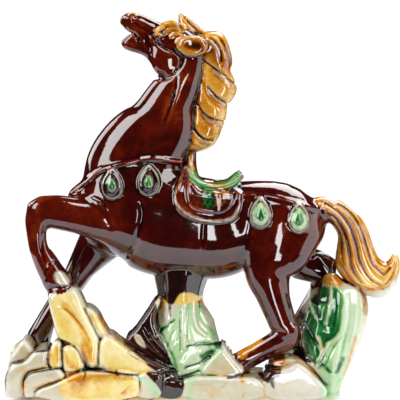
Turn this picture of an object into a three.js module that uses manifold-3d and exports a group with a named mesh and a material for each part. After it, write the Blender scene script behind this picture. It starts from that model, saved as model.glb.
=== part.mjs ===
// A glazed ceramic horse, cast in one piece with the rocks that it strides over.
// Millimetres, +Z up, the head towards -X, the near side towards -Y.
// The origin is on the underside, below the middle of the whole statue.

import * as THREE from "three";
import { mergeVertices } from "three/addons/utils/BufferGeometryUtils.js";
import Module from "manifold-3d";

const wasm = await Module();
wasm.setup();

// Driving dimensions
const BASE_LEFT = -148;
const BASE_RIGHT = 105;
const BASE_DEPTH = 86;
const BASE_HEIGHT = 17;
const NEAR = -17; // the plane of the near legs
const FAR = 16; // the plane of the far legs
const BLANKET = 2.6; // how far the saddle blanket stands off the body
const PAD = 4.6; // how far the saddle pad stands off the body
const STRAP = 1.6; // how far a strap stands off the body
const STRAP_WIDTH = 5;
const DROP_WIDTH = 17; // the hanging ornaments
const DROP_HEIGHT = 24;
const TAIL_STRANDS = 4; // on each side
const LOCKS = 7; // locks of the mane
const CLEAR = 400; // wider than the statue, for cuts that run right through it

const GLAZE = new THREE.MeshStandardMaterial({ color: 0x4a1a0e, roughness: 0.12, metalness: 0 });

// Turns a closed geometry into a solid that can be joined and cut.
function solid(geometry) {
  const bare = geometry.index ? geometry.toNonIndexed() : geometry;
  bare.deleteAttribute("normal");
  bare.deleteAttribute("uv");
  const merged = mergeVertices(bare, 1e-3);
  const vertProperties = new Float32Array(merged.attributes.position.array);
  const triVerts = new Uint32Array(merged.index.array);
  return new wasm.Manifold(new wasm.Mesh({ numProp: 3, vertProperties, triVerts }));
}

function join(solids) {
  return solids.reduce((whole, next) => whole.add(next));
}

// Rounds the ends of a loft: one ring part of the way to the pole.
const DOME_ANGLE = THREE.MathUtils.degToRad(48);

// A closed loft through stations [x, y, z, half width in the side view, half depth across it].
// The section is an ellipse at power 2 and squarer above it.
// A groove sinks every second corner by that share of its radius.
function limb(stations, { sides = 8, steps = 2, power = 2, cap = 0.7, groove = 0 } = {}) {
  const path = new THREE.CatmullRomCurve3(stations.map(([x, y, z]) => new THREE.Vector3(x, y, z)));
  path.curveType = "centripetal";
  const size = new THREE.CatmullRomCurve3(stations.map(([, , , w, d]) => new THREE.Vector3(w, d, 0)));
  size.curveType = "centripetal";
  const count = (stations.length - 1) * steps;
  const rings = [];
  for (let i = 0; i <= count; i++) {
    const t = i / count;
    rings.push({ at: path.getPoint(t), along: path.getTangent(t), size: size.getPoint(t) });
  }
  const beyond = (ring, reach) =>
    ring.at.clone().addScaledVector(ring.along, reach * cap * Math.min(ring.size.x, ring.size.y));
  const domed = (ring, way) => ({
    at: beyond(ring, way * Math.sin(DOME_ANGLE)),
    along: ring.along,
    size: ring.size.clone().multiplyScalar(Math.cos(DOME_ANGLE)),
  });
  const first = rings[0];
  const last = rings[count];
  rings.unshift(domed(first, -1));
  rings.push(domed(last, 1));

  const flat = [];
  const bend = 2 / power;
  for (const ring of rings) {
    const up = ring.along.clone().cross(new THREE.Vector3(0, 1, 0)).normalize();
    const side = up.clone().cross(ring.along).normalize();
    for (let k = 0; k < sides; k++) {
      const angle = (2 * Math.PI * k) / sides;
      const c = Math.cos(angle);
      const s = Math.sin(angle);
      const full = k % 2 ? 1 - groove : 1;
      const p = ring.at.clone();
      p.addScaledVector(up, full * ring.size.x * Math.sign(c) * Math.abs(c) ** bend);
      p.addScaledVector(side, full * ring.size.y * Math.sign(s) * Math.abs(s) ** bend);
      flat.push(p.x, p.y, p.z);
    }
  }
  flat.push(...beyond(first, -1), ...beyond(last, 1));

  const faces = [];
  const rows = rings.length;
  for (let i = 0; i < rows - 1; i++) {
    for (let k = 0; k < sides; k++) {
      const a = i * sides + k;
      const b = i * sides + ((k + 1) % sides);
      faces.push(a, a + sides, b, b, a + sides, b + sides);
    }
  }
  for (let k = 0; k < sides; k++) {
    const next = (k + 1) % sides;
    faces.push(rows * sides, k, next);
    faces.push(rows * sides + 1, (rows - 1) * sides + next, (rows - 1) * sides + k);
  }
  const geometry = new THREE.BufferGeometry();
  geometry.setAttribute("position", new THREE.Float32BufferAttribute(flat, 3));
  geometry.setIndex(faces);
  return solid(geometry);
}

// A ball squashed to its three half sizes and turned in the side view.
function ball([x, y, z], [rx, ry, rz], turn = 0, rows = 5) {
  const geometry = new THREE.SphereGeometry(1, rows * 2, rows);
  geometry.scale(rx, ry, rz);
  geometry.rotateY(-THREE.MathUtils.degToRad(turn));
  geometry.translate(x, y, z);
  return solid(geometry);
}

// An outline in the side view, cut right through the horse from side to side.
function across(outline) {
  const geometry = new THREE.ExtrudeGeometry(new THREE.Shape(outline), { depth: CLEAR, bevelEnabled: false });
  geometry.rotateX(Math.PI / 2);
  geometry.translate(0, CLEAR / 2, 0);
  return solid(geometry);
}

const sideCurve = (points) => new THREE.SplineCurve(points.map(([x, z]) => new THREE.Vector2(x, z)));

// The inside of a smooth outline.
function sideCut(points) {
  const steps = Math.round(points.length * 1.5);
  return across(sideCurve(points).getPoints(steps));
}

// A band of even width along a line.
function sideBand(points, width) {
  const curve = sideCurve(points);
  const steps = points.length - 1;
  const edge = (way) =>
    Array.from({ length: steps + 1 }, (_, i) => {
      const p = curve.getPoint(i / steps);
      const t = curve.getTangent(i / steps);
      return new THREE.Vector2(p.x - (way * t.y * width) / 2, p.y + (way * t.x * width) / 2);
    });
  return across([...edge(1), ...edge(-1).reverse()]);
}

// The body
const TORSO = [
  [-91, 0, 151, 10, 13],
  [-81, 0, 145, 22, 22],
  [-65, 0, 141, 31, 28],
  [-46, 0, 138, 39.5, 31],
  [-28, 0, 132, 41.5, 31],
  [-9, 0, 128, 38.5, 31],
  [10, 0, 126, 37.5, 30],
  [25, 0, 128, 34.5, 28],
  [40, 0, 131, 31.5, 29],
  [58, 0, 131, 31, 30],
  [72, 0, 133, 27.5, 27],
  [82, 0, 136, 21, 21],
  [89, 0, 139, 11, 11],
];
const NECK = [
  [-66, 0, 148, 27, 25],
  [-55, 0, 167, 34, 25],
  [-44, 0, 184, 34, 22],
  [-30, 0, 204, 28, 18],
  [-23, 0, 222, 20.5, 16],
  [-16, 0, 234, 17.5, 15],
  [-9, 0, 247, 13, 14],
  [-5, 0, 259, 10, 12],
];

const grown = (stations, by) => stations.map(([x, y, z, w, d]) => [x, y, z, w + by, d + by]);
const skin = (by) =>
  limb(grown(TORSO, by), { sides: 12, steps: 1 }).add(limb(grown(NECK, by), { sides: 10, steps: 1 }));

// The head, raised and whinnying
const HEAD = [
  [-7, 0, 260, 11, 12.5],
  [-17, 0, 264, 13.5, 12.5],
  [-28, 0, 268.5, 12, 11.5],
  [-39, 0, 273.5, 10.4, 9.5],
  [-47, 0, 277.5, 10, 8.4],
  [-52, 0, 280.4, 8.2, 8],
  [-56, 0, 281.9, 6.4, 7],
  [-58.5, 0, 282.2, 4, 5],
];
const JAW = [
  [-25, 0, 252.5, 11.5, 10.5],
  [-35, 0, 258.5, 9.5, 8.5],
  [-42, 0, 262.5, 8.4, 7],
  [-48, 0, 264.6, 7.6, 6.6],
  [-52.5, 0, 265.2, 6.8, 6.4],
  [-56.5, 0, 265.4, 5, 5.8],
  [-59, 0, 265.8, 3, 4],
];

function head() {
  const parts = [limb(HEAD, { sides: 12, steps: 1 }), limb(JAW, { sides: 10, steps: 1 })];
  for (const way of [-1, 1]) {
    parts.push(ball([-26, way * 7, 253], [12.5, 5.5, 12.5], 20));
    parts.push(ball([-31, way * 9.6, 270.5], [4, 3.2, 3], 30, 4));
    parts.push(ball([-52.5, way * 6.4, 284], [4.2, 2.6, 3], 10, 3));
  }
  return parts;
}

// Two ears: the far one is pricked and the near one is laid back, open to the side
function ears() {
  const far = limb(
    [
      [-6.5, 7, 269, 9, 4],
      [-11, 8, 277, 7.2, 3.6],
      [-15, 8.5, 284, 4, 2.6],
      [-16.3, 8.5, 288, 1.6, 1.4],
    ],
    { sides: 8 },
  );
  const near = ball([-7, -10.5, 262.3], [11.6, 5, 8.4]);
  const hollow = ball([-7, -16.5, 264], [8.8, 5.4, 5]);
  return [far, near.subtract(hollow)];
}

// Hair: stations [x, z, half width, half depth] of a flat strand
const hair = (stations) => limb(stations.map(([x, z, w, d]) => [x, 0, z, w, d]), { sides: 6, steps: 1 });

const CREST = [
  [-1, 268, 5, 10],
  [8, 264.5, 8.5, 10],
  [10.5, 253, 11.5, 9.5],
  [11, 238, 13, 9],
  [8, 222, 12.5, 8.5],
  [4.5, 207, 12.2, 8.5],
  [1, 196, 10, 8],
  [-3, 188.5, 6, 7],
];
const MANE_TOP = 265; // height of the first lock's root
const MANE_BOTTOM = 203; // height of the last lock's root
const MANE_SWEEP = 12; // how far forward the roots run on their way down
// One lock from its root to its tip: [back, down, half width, half depth]
const LOCK = [
  [-1, -1, 4.2, 12],
  [6, 9, 5.6, 12],
  [15, 16, 5, 10.5],
  [22.5, 20, 2.8, 6.5],
];
// The forelock hangs down both sides of the brow, thinner on the far side
const NEAR_FORELOCK = [
  [[-8, 273], [-18, 276.5], [-30, 277.5]],
  [[-9, 269], [-21, 271.5], [-33, 271.5]],
  [[-12, 264.5], [-21, 265], [-29, 266]],
];
const FAR_FORELOCK = NEAR_FORELOCK.slice(0, 2);
const BROW = 10.5; // half width of the forehead that it lies on

function mane() {
  const locks = Array.from({ length: LOCKS }, (_, i) => {
    const t = i / (LOCKS - 1);
    const x = -MANE_SWEEP * t ** 2;
    const z = THREE.MathUtils.lerp(MANE_TOP, MANE_BOTTOM, t);
    const reach = 1 - 0.16 * t;
    return hair(LOCK.map(([back, down, w, d]) => [x + reach * back, z - reach * down, w, d]));
  });
  const wisp = (way, [root, middle, tip]) =>
    limb(
      [
        [root[0], way * BROW, root[1], 3.4, 3],
        [middle[0], way * BROW, middle[1], 3.8, 3.4],
        [tip[0], way * 0.8 * BROW, tip[1], 2.2, 2.4],
      ],
      { sides: 6, steps: 1 },
    );
  const near = NEAR_FORELOCK.map((points) => wisp(-1, points));
  const far = FAR_FORELOCK.map((points) => wisp(1, points));
  return [hair(CREST), ...locks, ...near, ...far];
}

// Legs: stations [x, z, half width, half depth], all in the plane of their own side
const leg = (side, stations) =>
  limb(stations.map(([x, z, w, d, inward = 0]) => [x, side * (1 - inward), z, w, d]), { steps: 1 });

const FORELEG_NEAR = [
  [
    [-58, 137, 23, 13, 0.3],
    [-75, 134.5, 15.5, 12, 0.1],
    [-92, 137.5, 13.4, 11],
    [-107, 140, 12.8, 10.5],
    [-119, 141, 11.4, 10],
  ],
  [
    [-121.5, 144, 8, 9],
    [-122, 133, 9, 9],
    [-122.5, 124, 7.4, 7.5],
    [-120.5, 113, 7.4, 7],
    [-115, 101.5, 9, 8],
    [-109, 91, 10, 9.5],
  ],
  [[-107.5, 89, 10, 9.5], [-105, 84, 10.5, 10.5], [-103.5, 80, 11, 11]],
];
const FORELEG_FAR = [
  [
    [-66, 126, 22, 13, 0.3],
    [-80, 111, 15.5, 12],
    [-91, 96, 11, 10],
    [-98, 84, 9, 9],
    [-106, 74, 8, 8],
  ],
  [[-106, 74, 8, 8], [-115, 61, 7, 7.5], [-121, 49, 8, 8], [-124, 41, 9, 9], [-124, 33, 8, 9]],
];
const HINDLEG_NEAR = [
  [
    [64, 130, 27, 15, 0.2],
    [55.5, 111, 25, 14.5],
    [50, 94, 18, 12],
    [53, 79, 13, 10.5],
    [58, 64, 11, 9.5],
    [62.5, 52, 10.5, 9],
  ],
  [
    [66.5, 53, 8, 8],
    [65, 47.5, 9.5, 8.5],
    [55, 42, 9, 8],
    [42, 35, 8, 7.5],
    [32, 29, 8.5, 8],
    [27, 25, 8, 8],
  ],
  [[30, 27, 8, 8], [24.5, 22.5, 8.5, 9.5], [21.5, 18, 9, 10]],
];
const HINDLEG_FAR = [
  [[62, 122, 22, 14, 0.2], [76, 101, 15, 12], [86, 97, 12.5, 10], [92, 98, 11, 9.5]],
  [
    [95, 99, 8, 8.5],
    [93, 87, 8.5, 8],
    [87, 75, 7, 7.5],
    [79, 60, 7, 7.5],
    [73, 45, 8, 8],
    [69, 32, 9, 9],
  ],
];

function legs() {
  const near = [...FORELEG_NEAR, ...HINDLEG_NEAR].map((stations) => leg(NEAR, stations));
  const far = [...FORELEG_FAR, ...HINDLEG_FAR].map((stations) => leg(FAR, stations));
  return [...near, ...far];
}

// The tail, one S-shaped sweep with a strand at every second corner of its section
const TAIL = [
  [86, 141, 6, 6],
  [99.5, 138.5, 9.5, 8],
  [108, 128.5, 13, 10],
  [115, 114, 13.5, 10.5],
  [118, 101, 15, 11],
  [121, 94.5, 16, 11],
  [127, 88, 15, 10.5],
  [134, 86.5, 12, 9],
  [141, 91, 8, 7.5],
  [145, 100, 4.5, 5],
  [142, 104.5, 3, 4],
];

function tail() {
  const stations = TAIL.map(([x, z, w, d]) => [x, 0, z, w, d]);
  return [limb(stations, { sides: 4 * TAIL_STRANDS, steps: 1, power: 2.4, groove: 0.2 })];
}

// Saddle, blanket and straps
const BLANKET_EDGE = [
  [-14, 172],
  [-20, 160],
  [-21, 150],
  [-15, 140.5],
  [-4, 134.5],
  [12, 132.5],
  [25, 134.5],
  [29, 145],
  [27, 172],
];
const PAD_EDGE = [
  [-11, 172],
  [-11, 151],
  [-6, 144.5],
  [4, 141.5],
  [16, 141],
  [21, 148],
  [20, 172],
];
const COLLAR = [
  [-97, 155],
  [-84, 164],
  [-75, 171.5],
  [-58, 176.5],
  [-38, 180],
  [-15, 177],
];
const CRUPPER = [
  [26, 155],
  [52, 153.5],
  [72, 147.5],
  [92, 143],
];

function saddle() {
  const blanket = skin(BLANKET).intersect(sideCut(BLANKET_EDGE));
  const pad = skin(PAD).intersect(sideCut(PAD_EDGE));
  const seat = limb(
    [
      [-8.5, 0, 171, 4, 14],
      [-5.5, 0, 162.5, 4.5, 18],
      [2, 0, 158.5, 4.5, 19.5],
      [12, 0, 157.5, 4.5, 19.5],
      [21, 0, 160, 4.5, 18],
      [27.5, 0, 167, 2.8, 15],
    ],
    { sides: 10, steps: 1, power: 2.6, cap: 0.4 },
  );
  const pommel = limb(
    [
      [-7.5, 0, 183, 3.6, 7],
      [-8, 0, 176, 4.2, 11],
      [-7.5, 0, 168, 4.6, 17],
      [-6, 0, 162, 5, 19],
    ],
    { sides: 8, steps: 1, power: 2.6 },
  );
  return [blanket, pad, seat, pommel];
}

function straps() {
  return [COLLAR, CRUPPER].map((line) => skin(STRAP).intersect(sideBand(line, STRAP_WIDTH)));
}

// Hanging drops, placed where a line across the horse meets its skin
const DROPS = [
  [-66, 162],
  [-39, 164.5],
  [43.5, 140.5],
  [72, 136.5],
];
// Half of a drop's outline, as shares of its half width and half height from the lowest point up
const DROP_OUTLINE = [
  [0, -1],
  [0.7, -0.74],
  [1, -0.15],
  [0.68, 0.55],
  [0, 1],
];
// The rim and the bead inside it: [share of the drop's size, half depth, sides]
const DROP_LAYERS = [
  [1, 5, 8],
  [0.72, 7, 6],
];

function drops(target) {
  const { vertProperties, triVerts } = target.getMesh();
  const surface = new THREE.BufferGeometry();
  surface.setAttribute("position", new THREE.BufferAttribute(vertProperties, 3));
  surface.setIndex(new THREE.BufferAttribute(triVerts, 1));
  const hit = new THREE.Mesh(surface);
  const half = new THREE.Vector2(DROP_WIDTH / 2, DROP_HEIGHT / 2);
  const outline = DROP_OUTLINE.map(([r, h]) => new THREE.Vector2(r, h).multiply(half));
  const parts = [];
  for (const [x, z] of DROPS) {
    for (const way of [-1, 1]) {
      const ray = new THREE.Raycaster(new THREE.Vector3(x, way * CLEAR, z), new THREE.Vector3(0, -way, 0));
      const { y } = ray.intersectObject(hit)[0].point;
      for (const [share, depth, sides] of DROP_LAYERS) {
        const geometry = new THREE.LatheGeometry(outline, sides);
        geometry.scale(share, share, (2 * depth) / DROP_WIDTH);
        geometry.rotateX(Math.PI / 2);
        geometry.translate(x, y, z);
        parts.push(solid(geometry));
      }
    }
  }
  return parts;
}

// The rocks: few-sided lofts, squarer than a limb
const rock = (stations, options) => limb(stations, { sides: 6, steps: 1, power: 2.6, cap: 0.5, ...options });

const UNDER_HOOF = [
  [-104.5, -18, 78, 10.5, 12],
  [-103, -18, 69, 13, 15],
  [-96.5, -17, 56, 16.5, 19],
  [-90, -16, 43, 16, 22],
  [-81, -20, 24, 6.5, 18],
];
const MIDDLE_PILLAR = [
  [-15.5, 0, 95, 22, 19],
  [-16.5, 0, 73, 17.5, 17],
  [-15.5, 0, 59, 22.5, 20],
  [-13.5, 0, 50, 24.5, 23],
  [-7, 0, 35, 22, 28],
  [-4, 0, 18, 22, 32],
];
const HIND_PILLAR = [
  [97, 2, 90, 6, 8],
  [99.5, 2, 82, 11, 13],
  [103.5, 2, 73, 21, 18],
  [102, 2, 62, 23.5, 22],
  [97.5, 2, 46, 23.5, 26],
  [95, 2, 27, 19, 30],
  [95, 2, 8, 10, 30],
];
const BOULDERS = [
  // beside the rock under the hoof
  [[-86, -8, 64, 3.5, 12], [-82.5, -8, 57, 6, 16], [-79, -6, 47, 8, 20], [-76, -4, 34, 10, 26]],
  // the slope down to the middle
  [
    [-75, -6, 30, 14, 30],
    [-66, -8, 28, 13, 32],
    [-55, -8, 25, 10.5, 33],
    [-40, -8, 20, 9, 33],
    [-22, -6, 16, 7, 30],
  ],
  // the dark crag that leans on the middle pillar
  [
    [-35, -2, 74, 2.5, 8],
    [-39, -2, 61, 6.5, 12],
    [-44, -2, 49, 11, 16],
    [-43, -2, 41, 14, 19],
    [-31, -4, 26, 13, 20],
  ],
  // under the far forehoof, and in front of it
  [[-133, 10, 38, 5, 12], [-136, 8, 32, 8, 18], [-137.5, 4, 20, 8, 26], [-138, 2, 6, 9, 28]],
  [
    [-139, -2, 15, 13, 24],
    [-130, -4, 17, 15, 30],
    [-118, -6, 17.5, 16, 32],
    [-100, -6, 17, 16, 33],
  ],
  [[-132, -28, 9, 9, 10], [-120, -29, 11, 10, 12], [-107, -29, 11, 11, 12]],
  // upright stones in front of the rock under the hoof
  [[-110, -26, 41, 3, 5], [-110, -26, 32, 5.5, 8], [-110, -26, 18, 6, 10]],
  [[-98, -29, 34, 6, 6], [-97, -30, 27, 8.5, 8], [-96.5, -30, 14, 9.5, 9]],
  // stones between the middle pillar and the hind feet
  [[8, -10, 22, 12, 24], [20, -12, 16, 8, 26], [34, -12, 12, 8, 26], [46, -10, 11, 8, 26]],
  [[54, 0, 23, 9, 24], [64, 0, 22, 12, 28], [76, 2, 20, 13, 30], [86, 2, 16, 12, 30]],
  [[50, 6, 36, 6, 12], [58, 6, 32, 8, 16], [68, 6, 30, 9, 18]],
];

function rocks() {
  return [
    rock(UNDER_HOOF),
    rock(MIDDLE_PILLAR, { sides: 8, power: 2.2 }),
    rock(HIND_PILLAR, { sides: 8, power: 2.2 }),
    ...BOULDERS.map((stations) => rock(stations)),
  ];
}

// The base: a slab with a lobed edge, rounded off at its top
const BASE_CORNERS = 20;
const LOBES = 7;
const LOBE_DEPTH = 0.08; // as a share of the radius
const BASE_ROUND = 3;

function base() {
  const middle = (BASE_LEFT + BASE_RIGHT) / 2;
  const reach = (BASE_RIGHT - BASE_LEFT) / 2;
  const outline = Array.from({ length: BASE_CORNERS }, (_, k) => {
    const angle = (2 * Math.PI * k) / BASE_CORNERS;
    const c = Math.cos(angle);
    const s = Math.sin(angle);
    const lobe = 1 - (LOBE_DEPTH * (1 + Math.cos(LOBES * angle))) / 2;
    const x = middle + reach * Math.sign(c) * Math.abs(c) ** 0.5 * (s === 0 ? 1 : lobe);
    return new THREE.Vector2(x, (BASE_DEPTH / 2) * Math.sign(s) * Math.abs(s) ** 0.7 * lobe);
  });
  const geometry = new THREE.ExtrudeGeometry(new THREE.Shape(outline), {
    depth: BASE_HEIGHT - BASE_ROUND,
    bevelThickness: BASE_ROUND,
    bevelSize: BASE_ROUND,
    bevelOffset: -BASE_ROUND,
    bevelSegments: 1,
  });
  return solid(geometry);
}

// Everything below the underside
function ground() {
  const geometry = new THREE.BoxGeometry(CLEAR, CLEAR, CLEAR);
  geometry.translate(0, 0, -CLEAR / 2);
  return solid(geometry);
}

const horse = join([skin(0), ...head(), ...ears(), ...mane(), ...legs(), ...tail()]);
const tack = join([...saddle(), ...straps(), ...drops(skin(0))]);
const stand = join([base(), ...rocks()]).subtract(ground());
const statue = horse.add(tack).add(stand);

// Overlapping forms can seal in a small pocket, so only the outer shell is kept.
const pieces = statue.decompose();
const shell = pieces.reduce((largest, next) => (next.volume() > largest.volume() ? next : largest));

const result = shell.getMesh();
const geometry = new THREE.BufferGeometry();
geometry.setAttribute("position", new THREE.Float32BufferAttribute(result.vertProperties, 3));
geometry.setIndex(new THREE.BufferAttribute(result.triVerts, 1));
geometry.computeVertexNormals();

const mesh = new THREE.Mesh(geometry, GLAZE);
mesh.name = "horse_statue";
const group = new THREE.Group();
group.add(mesh);

export default group;
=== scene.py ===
"""A glazed ceramic horse on its rocks: the surface, its running glazes, the studio and the camera."""

import bpy
import math
import numpy as np
import openvdb as vdb
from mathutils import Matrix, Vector

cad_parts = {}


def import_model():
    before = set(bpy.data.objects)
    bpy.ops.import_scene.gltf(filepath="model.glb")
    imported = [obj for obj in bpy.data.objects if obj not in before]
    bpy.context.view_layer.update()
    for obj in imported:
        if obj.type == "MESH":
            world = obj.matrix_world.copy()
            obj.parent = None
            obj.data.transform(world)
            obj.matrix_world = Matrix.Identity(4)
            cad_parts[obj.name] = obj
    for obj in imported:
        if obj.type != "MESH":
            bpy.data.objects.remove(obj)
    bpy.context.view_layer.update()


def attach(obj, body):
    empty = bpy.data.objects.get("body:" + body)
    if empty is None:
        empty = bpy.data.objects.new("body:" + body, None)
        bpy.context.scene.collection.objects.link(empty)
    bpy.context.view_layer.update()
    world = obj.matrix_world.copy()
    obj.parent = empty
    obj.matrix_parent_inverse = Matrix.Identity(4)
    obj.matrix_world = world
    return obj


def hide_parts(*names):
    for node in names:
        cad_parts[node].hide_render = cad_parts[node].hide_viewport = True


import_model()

# Lengths are millimetres, as in the modelling part: +Z up, the head towards -X, the near side -Y.
MM = 0.001
VOXEL = 0.75
REACH = 8.0  # how far from a surface its distance is known, and so the widest blend
HAIR_REACH = 4.0  # the same for the hair, which is thinner
FACES = 195_000  # triangles in the finished mesh
SEED = 7
MIRRORED = (-1, 1)  # the near and the far side

# The camera, level with the statue's middle and a little above it
TARGET = np.array([-1.1, 0.0, 148.0])
DISTANCE = 1700.0
ELEVATION = math.radians(4)
HALF_VIEW = 150.0  # half the width that the picture shows at the statue
HALF_PICTURE = 200  # the same in pixels
BACK = np.array([0.0, -math.cos(ELEVATION), math.sin(ELEVATION)])
UP = np.array([0.0, math.sin(ELEVATION), math.cos(ELEVATION)])


def seen(y, pixels):
    """Where points of the 400-pixel picture lie on the plane at that y: rows of x, z."""
    u, v = (np.array(pixels, float)[:, :2] - HALF_PICTURE).T * HALF_VIEW / HALF_PICTURE
    rays = -BACK * DISTANCE + np.outer(u, [1, 0, 0]) - np.outer(v, UP)
    eye = TARGET + BACK * DISTANCE
    at = eye + rays * ((y - eye[1]) / rays[:, 1])[:, None]
    return at[:, [0, 2]]


# Curves and lofts


def through(rows, steps):
    """A smooth curve through rows of numbers, spaced by the distance between their first three."""
    p = np.array(rows, float)
    p = np.vstack([2 * p[0] - p[1], p, 2 * p[-1] - p[-2]])
    gap = np.maximum(np.linalg.norm(np.diff(p[:, :3], axis=0), axis=1) ** 0.5, 1e-3)
    t = np.linspace(0, 1, steps, endpoint=False)[:, None]
    out = []
    for i in range(len(rows) - 1):
        a, b, c, d = p[i:i + 4]
        g0, g1, g2 = gap[i:i + 3]
        m1 = ((b - a) / g0 - (c - a) / (g0 + g1) + (c - b) / g1) * g1
        m2 = ((c - b) / g1 - (d - b) / (g1 + g2) + (d - c) / g2) * g1
        out.append(b + m1 * t + (3 * (c - b) - 2 * m1 - m2) * t**2 + (2 * (b - c) + m1 + m2) * t**3)
    out.append(p[-2:-1])
    return np.vstack(out)


def flat_curve(points, steps=8):
    """The same in the side view."""
    p = np.array(points, float)
    if len(p) < 3:
        return p
    return through(np.column_stack([p[:, 0], np.zeros(len(p)), p[:, 1]]), steps)[:, [0, 2]]


CAP_ANGLES = np.radians([75, 60, 40, 20])  # the rings that round off a loft's ends
BALL_ANGLES = np.radians([-80, -60, -35, 0, 35, 60, 80])


def loft(stations, power=2.0, cap=0.7, steps=6, sides=28):
    """A closed skin over rings at stations [x, y, z, half width in the side view, half depth].

    A power above 2 squares the rings off, and cap is how far the ends bulge, as a share of their size.
    """
    rings = through(stations, steps)
    along = np.gradient(rings[:, :3], axis=0)
    along /= np.linalg.norm(along, axis=1)[:, None]

    def dome(ring, direction, way):
        reach = cap * min(ring[3], ring[4]) * way
        rows = [
            np.concatenate([ring[:3] + direction * reach * math.sin(a), ring[3:] * math.cos(a)])
            for a in CAP_ANGLES]
        return rows, ring[:3] + direction * reach

    start, first_pole = dome(rings[0], along[0], -1)
    end, last_pole = dome(rings[-1], along[-1], 1)
    rings = np.vstack([start, rings, end[::-1]])
    along = np.vstack([[along[0]] * len(start), along, [along[-1]] * len(end)])
    up = np.cross(along, [0.0, 1.0, 0.0])
    up /= np.linalg.norm(up, axis=1)[:, None]
    side = np.cross(up, along)
    angle = np.linspace(0, 2 * math.pi, sides, endpoint=False)
    c = np.sign(np.cos(angle)) * np.abs(np.cos(angle)) ** (2 / power)
    s = np.sign(np.sin(angle)) * np.abs(np.sin(angle)) ** (2 / power)
    wide = up[:, None] * np.outer(rings[:, 3], c)[..., None]
    deep = side[:, None] * np.outer(rings[:, 4], s)[..., None]
    at = rings[:, None, :3] + wide + deep
    rows = np.arange(len(rings) - 1)[:, None] * sides
    k = np.arange(sides)
    n = (k + 1) % sides
    a, b = rows + k, rows + n
    walls = [
        np.stack([a, a + sides, b], -1).reshape(-1, 3),
        np.stack([b, a + sides, b + sides], -1).reshape(-1, 3)]
    last = (len(rings) - 1) * sides
    foot = np.full(sides, len(rings) * sides)
    ends = [np.stack([foot, k, n], 1), np.stack([foot + 1, last + n, last + k], 1)]
    return np.vstack([at.reshape(-1, 3), first_pole, last_pole]), np.vstack(walls + ends)


def ball(centre, half, turn=0.0):
    """A ball squashed to its three half sizes and turned in the side view."""
    c, s = math.cos(math.radians(turn)), math.sin(math.radians(turn))
    rows = []
    for a in BALL_ANGLES:
        reach, share = half[0] * math.sin(a), math.cos(a)
        middle = [centre[0] + c * reach, centre[1], centre[2] + s * reach]
        rows.append([*middle, half[2] * share, half[1] * share])
    return loft(rows, cap=0.2, steps=2, sides=24)


# Fields of distance over one grid: negative inside, and rounded where forms meet

LOW = np.array([-152.0, -46.0, -4.0])
HIGH = np.array([153.0, 46.0, 293.0])
FIRST = np.floor(LOW / VOXEL).astype(int)
COUNT = np.ceil(HIGH / VOXEL).astype(int) - FIRST + 1
GRID = vdb.createLinearTransform(VOXEL)
XS, YS, ZS = ((FIRST[i] + np.arange(COUNT[i])) * VOXEL for i in range(3))


def smaller(a, b, k):
    """The smaller of two fields, rounded over k millimetres where they cross."""
    h = np.maximum(k - np.abs(a - b), 0)
    return np.minimum(a, b) - h * h / (4 * k)


def larger(a, b, k):
    return -smaller(-a, -b, k)


class Form:
    """All the solid of one glaze."""

    def __init__(self, reach=REACH):
        self.reach = reach
        self.field = np.full(COUNT, reach, np.float32)

    def local(self, mesh):
        points, triangles = mesh
        solid = vdb.FloatGrid.createLevelSetFromPolygons(
            points.astype(np.float32), triangles=triangles.astype(np.uint32), transform=GRID,
            halfWidth=self.reach / VOXEL)
        low = np.floor((points.min(0) - self.reach) / VOXEL).astype(int)
        high = np.ceil((points.max(0) + self.reach) / VOXEL).astype(int) + 1
        low = np.maximum(low, FIRST)
        high = np.minimum(high, FIRST + COUNT)
        values = np.empty(high - low, np.float32)
        solid.copyToArray(values, ijk=tuple(int(i) for i in low))
        return tuple(slice(a, b) for a, b in zip(low - FIRST, high - FIRST)), values

    def join(self, where, values, blend):
        """Adds a field that is given over one box of the grid."""
        values = np.minimum(values, self.reach).astype(np.float32)
        self.field[where] = smaller(self.field[where], values, blend)

    def add(self, mesh, blend=1.5):
        where, values = self.local(mesh)
        self.field[where] = smaller(self.field[where], values, blend)

    def cut(self, mesh, blend=1.0):
        where, values = self.local(mesh)
        self.field[where] = larger(self.field[where], -values, blend)

    def raise_by(self, heights):
        """Lifts the surface on both sides by heights drawn in the side view, as far as they reach."""
        xs, zs = (np.flatnonzero(np.abs(heights).max(axis) > 1e-3) for axis in (1, 0))
        x, z = slice(xs[0], xs[-1] + 1), slice(zs[0], zs[-1] + 1)
        self.field[x, :, z] -= heights[x, None, z].astype(np.float32)


# Drawing in the side view. Maps of x and z carry reliefs and the runs of glaze.


def window(points, reach):
    """The part of the side view within reach of some points, and its x and z."""
    low, high = points.min(0) - reach, points.max(0) + reach
    where = (slice(np.searchsorted(XS, low[0]), np.searchsorted(XS, high[0])),
             slice(np.searchsorted(ZS, low[1]), np.searchsorted(ZS, high[1])))
    return where, XS[where[0]][:, None], ZS[where[1]][None, :]


def distances(points, x, z):
    """How far each place is from a line through the points."""
    best = np.full(np.broadcast(x, z).shape, np.inf)
    for a, b in zip(points[:-1], points[1:]):
        d = b - a
        t = np.clip(((x - a[0]) * d[0] + (z - a[1]) * d[1]) / max(d @ d, 1e-9), 0, 1)
        best = np.minimum(best, (x - a[0] - t * d[0]) ** 2 + (z - a[1] - t * d[1]) ** 2)
    return np.sqrt(best)


def depths(points, x, z):
    """How deep each place lies inside a closed line, negative outside."""
    ring = np.vstack([points, points[:1]])
    hit = np.zeros(np.broadcast(x, z).shape, bool)
    for a, b in zip(ring[:-1], ring[1:]):
        if a[1] != b[1]:
            crosses = (a[1] > z) != (b[1] > z)
            hit ^= crosses & (x < a[0] + (b[0] - a[0]) * (z - a[1]) / (b[1] - a[1]))
    return np.where(hit, 1, -1) * distances(ring, x, z)


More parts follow.
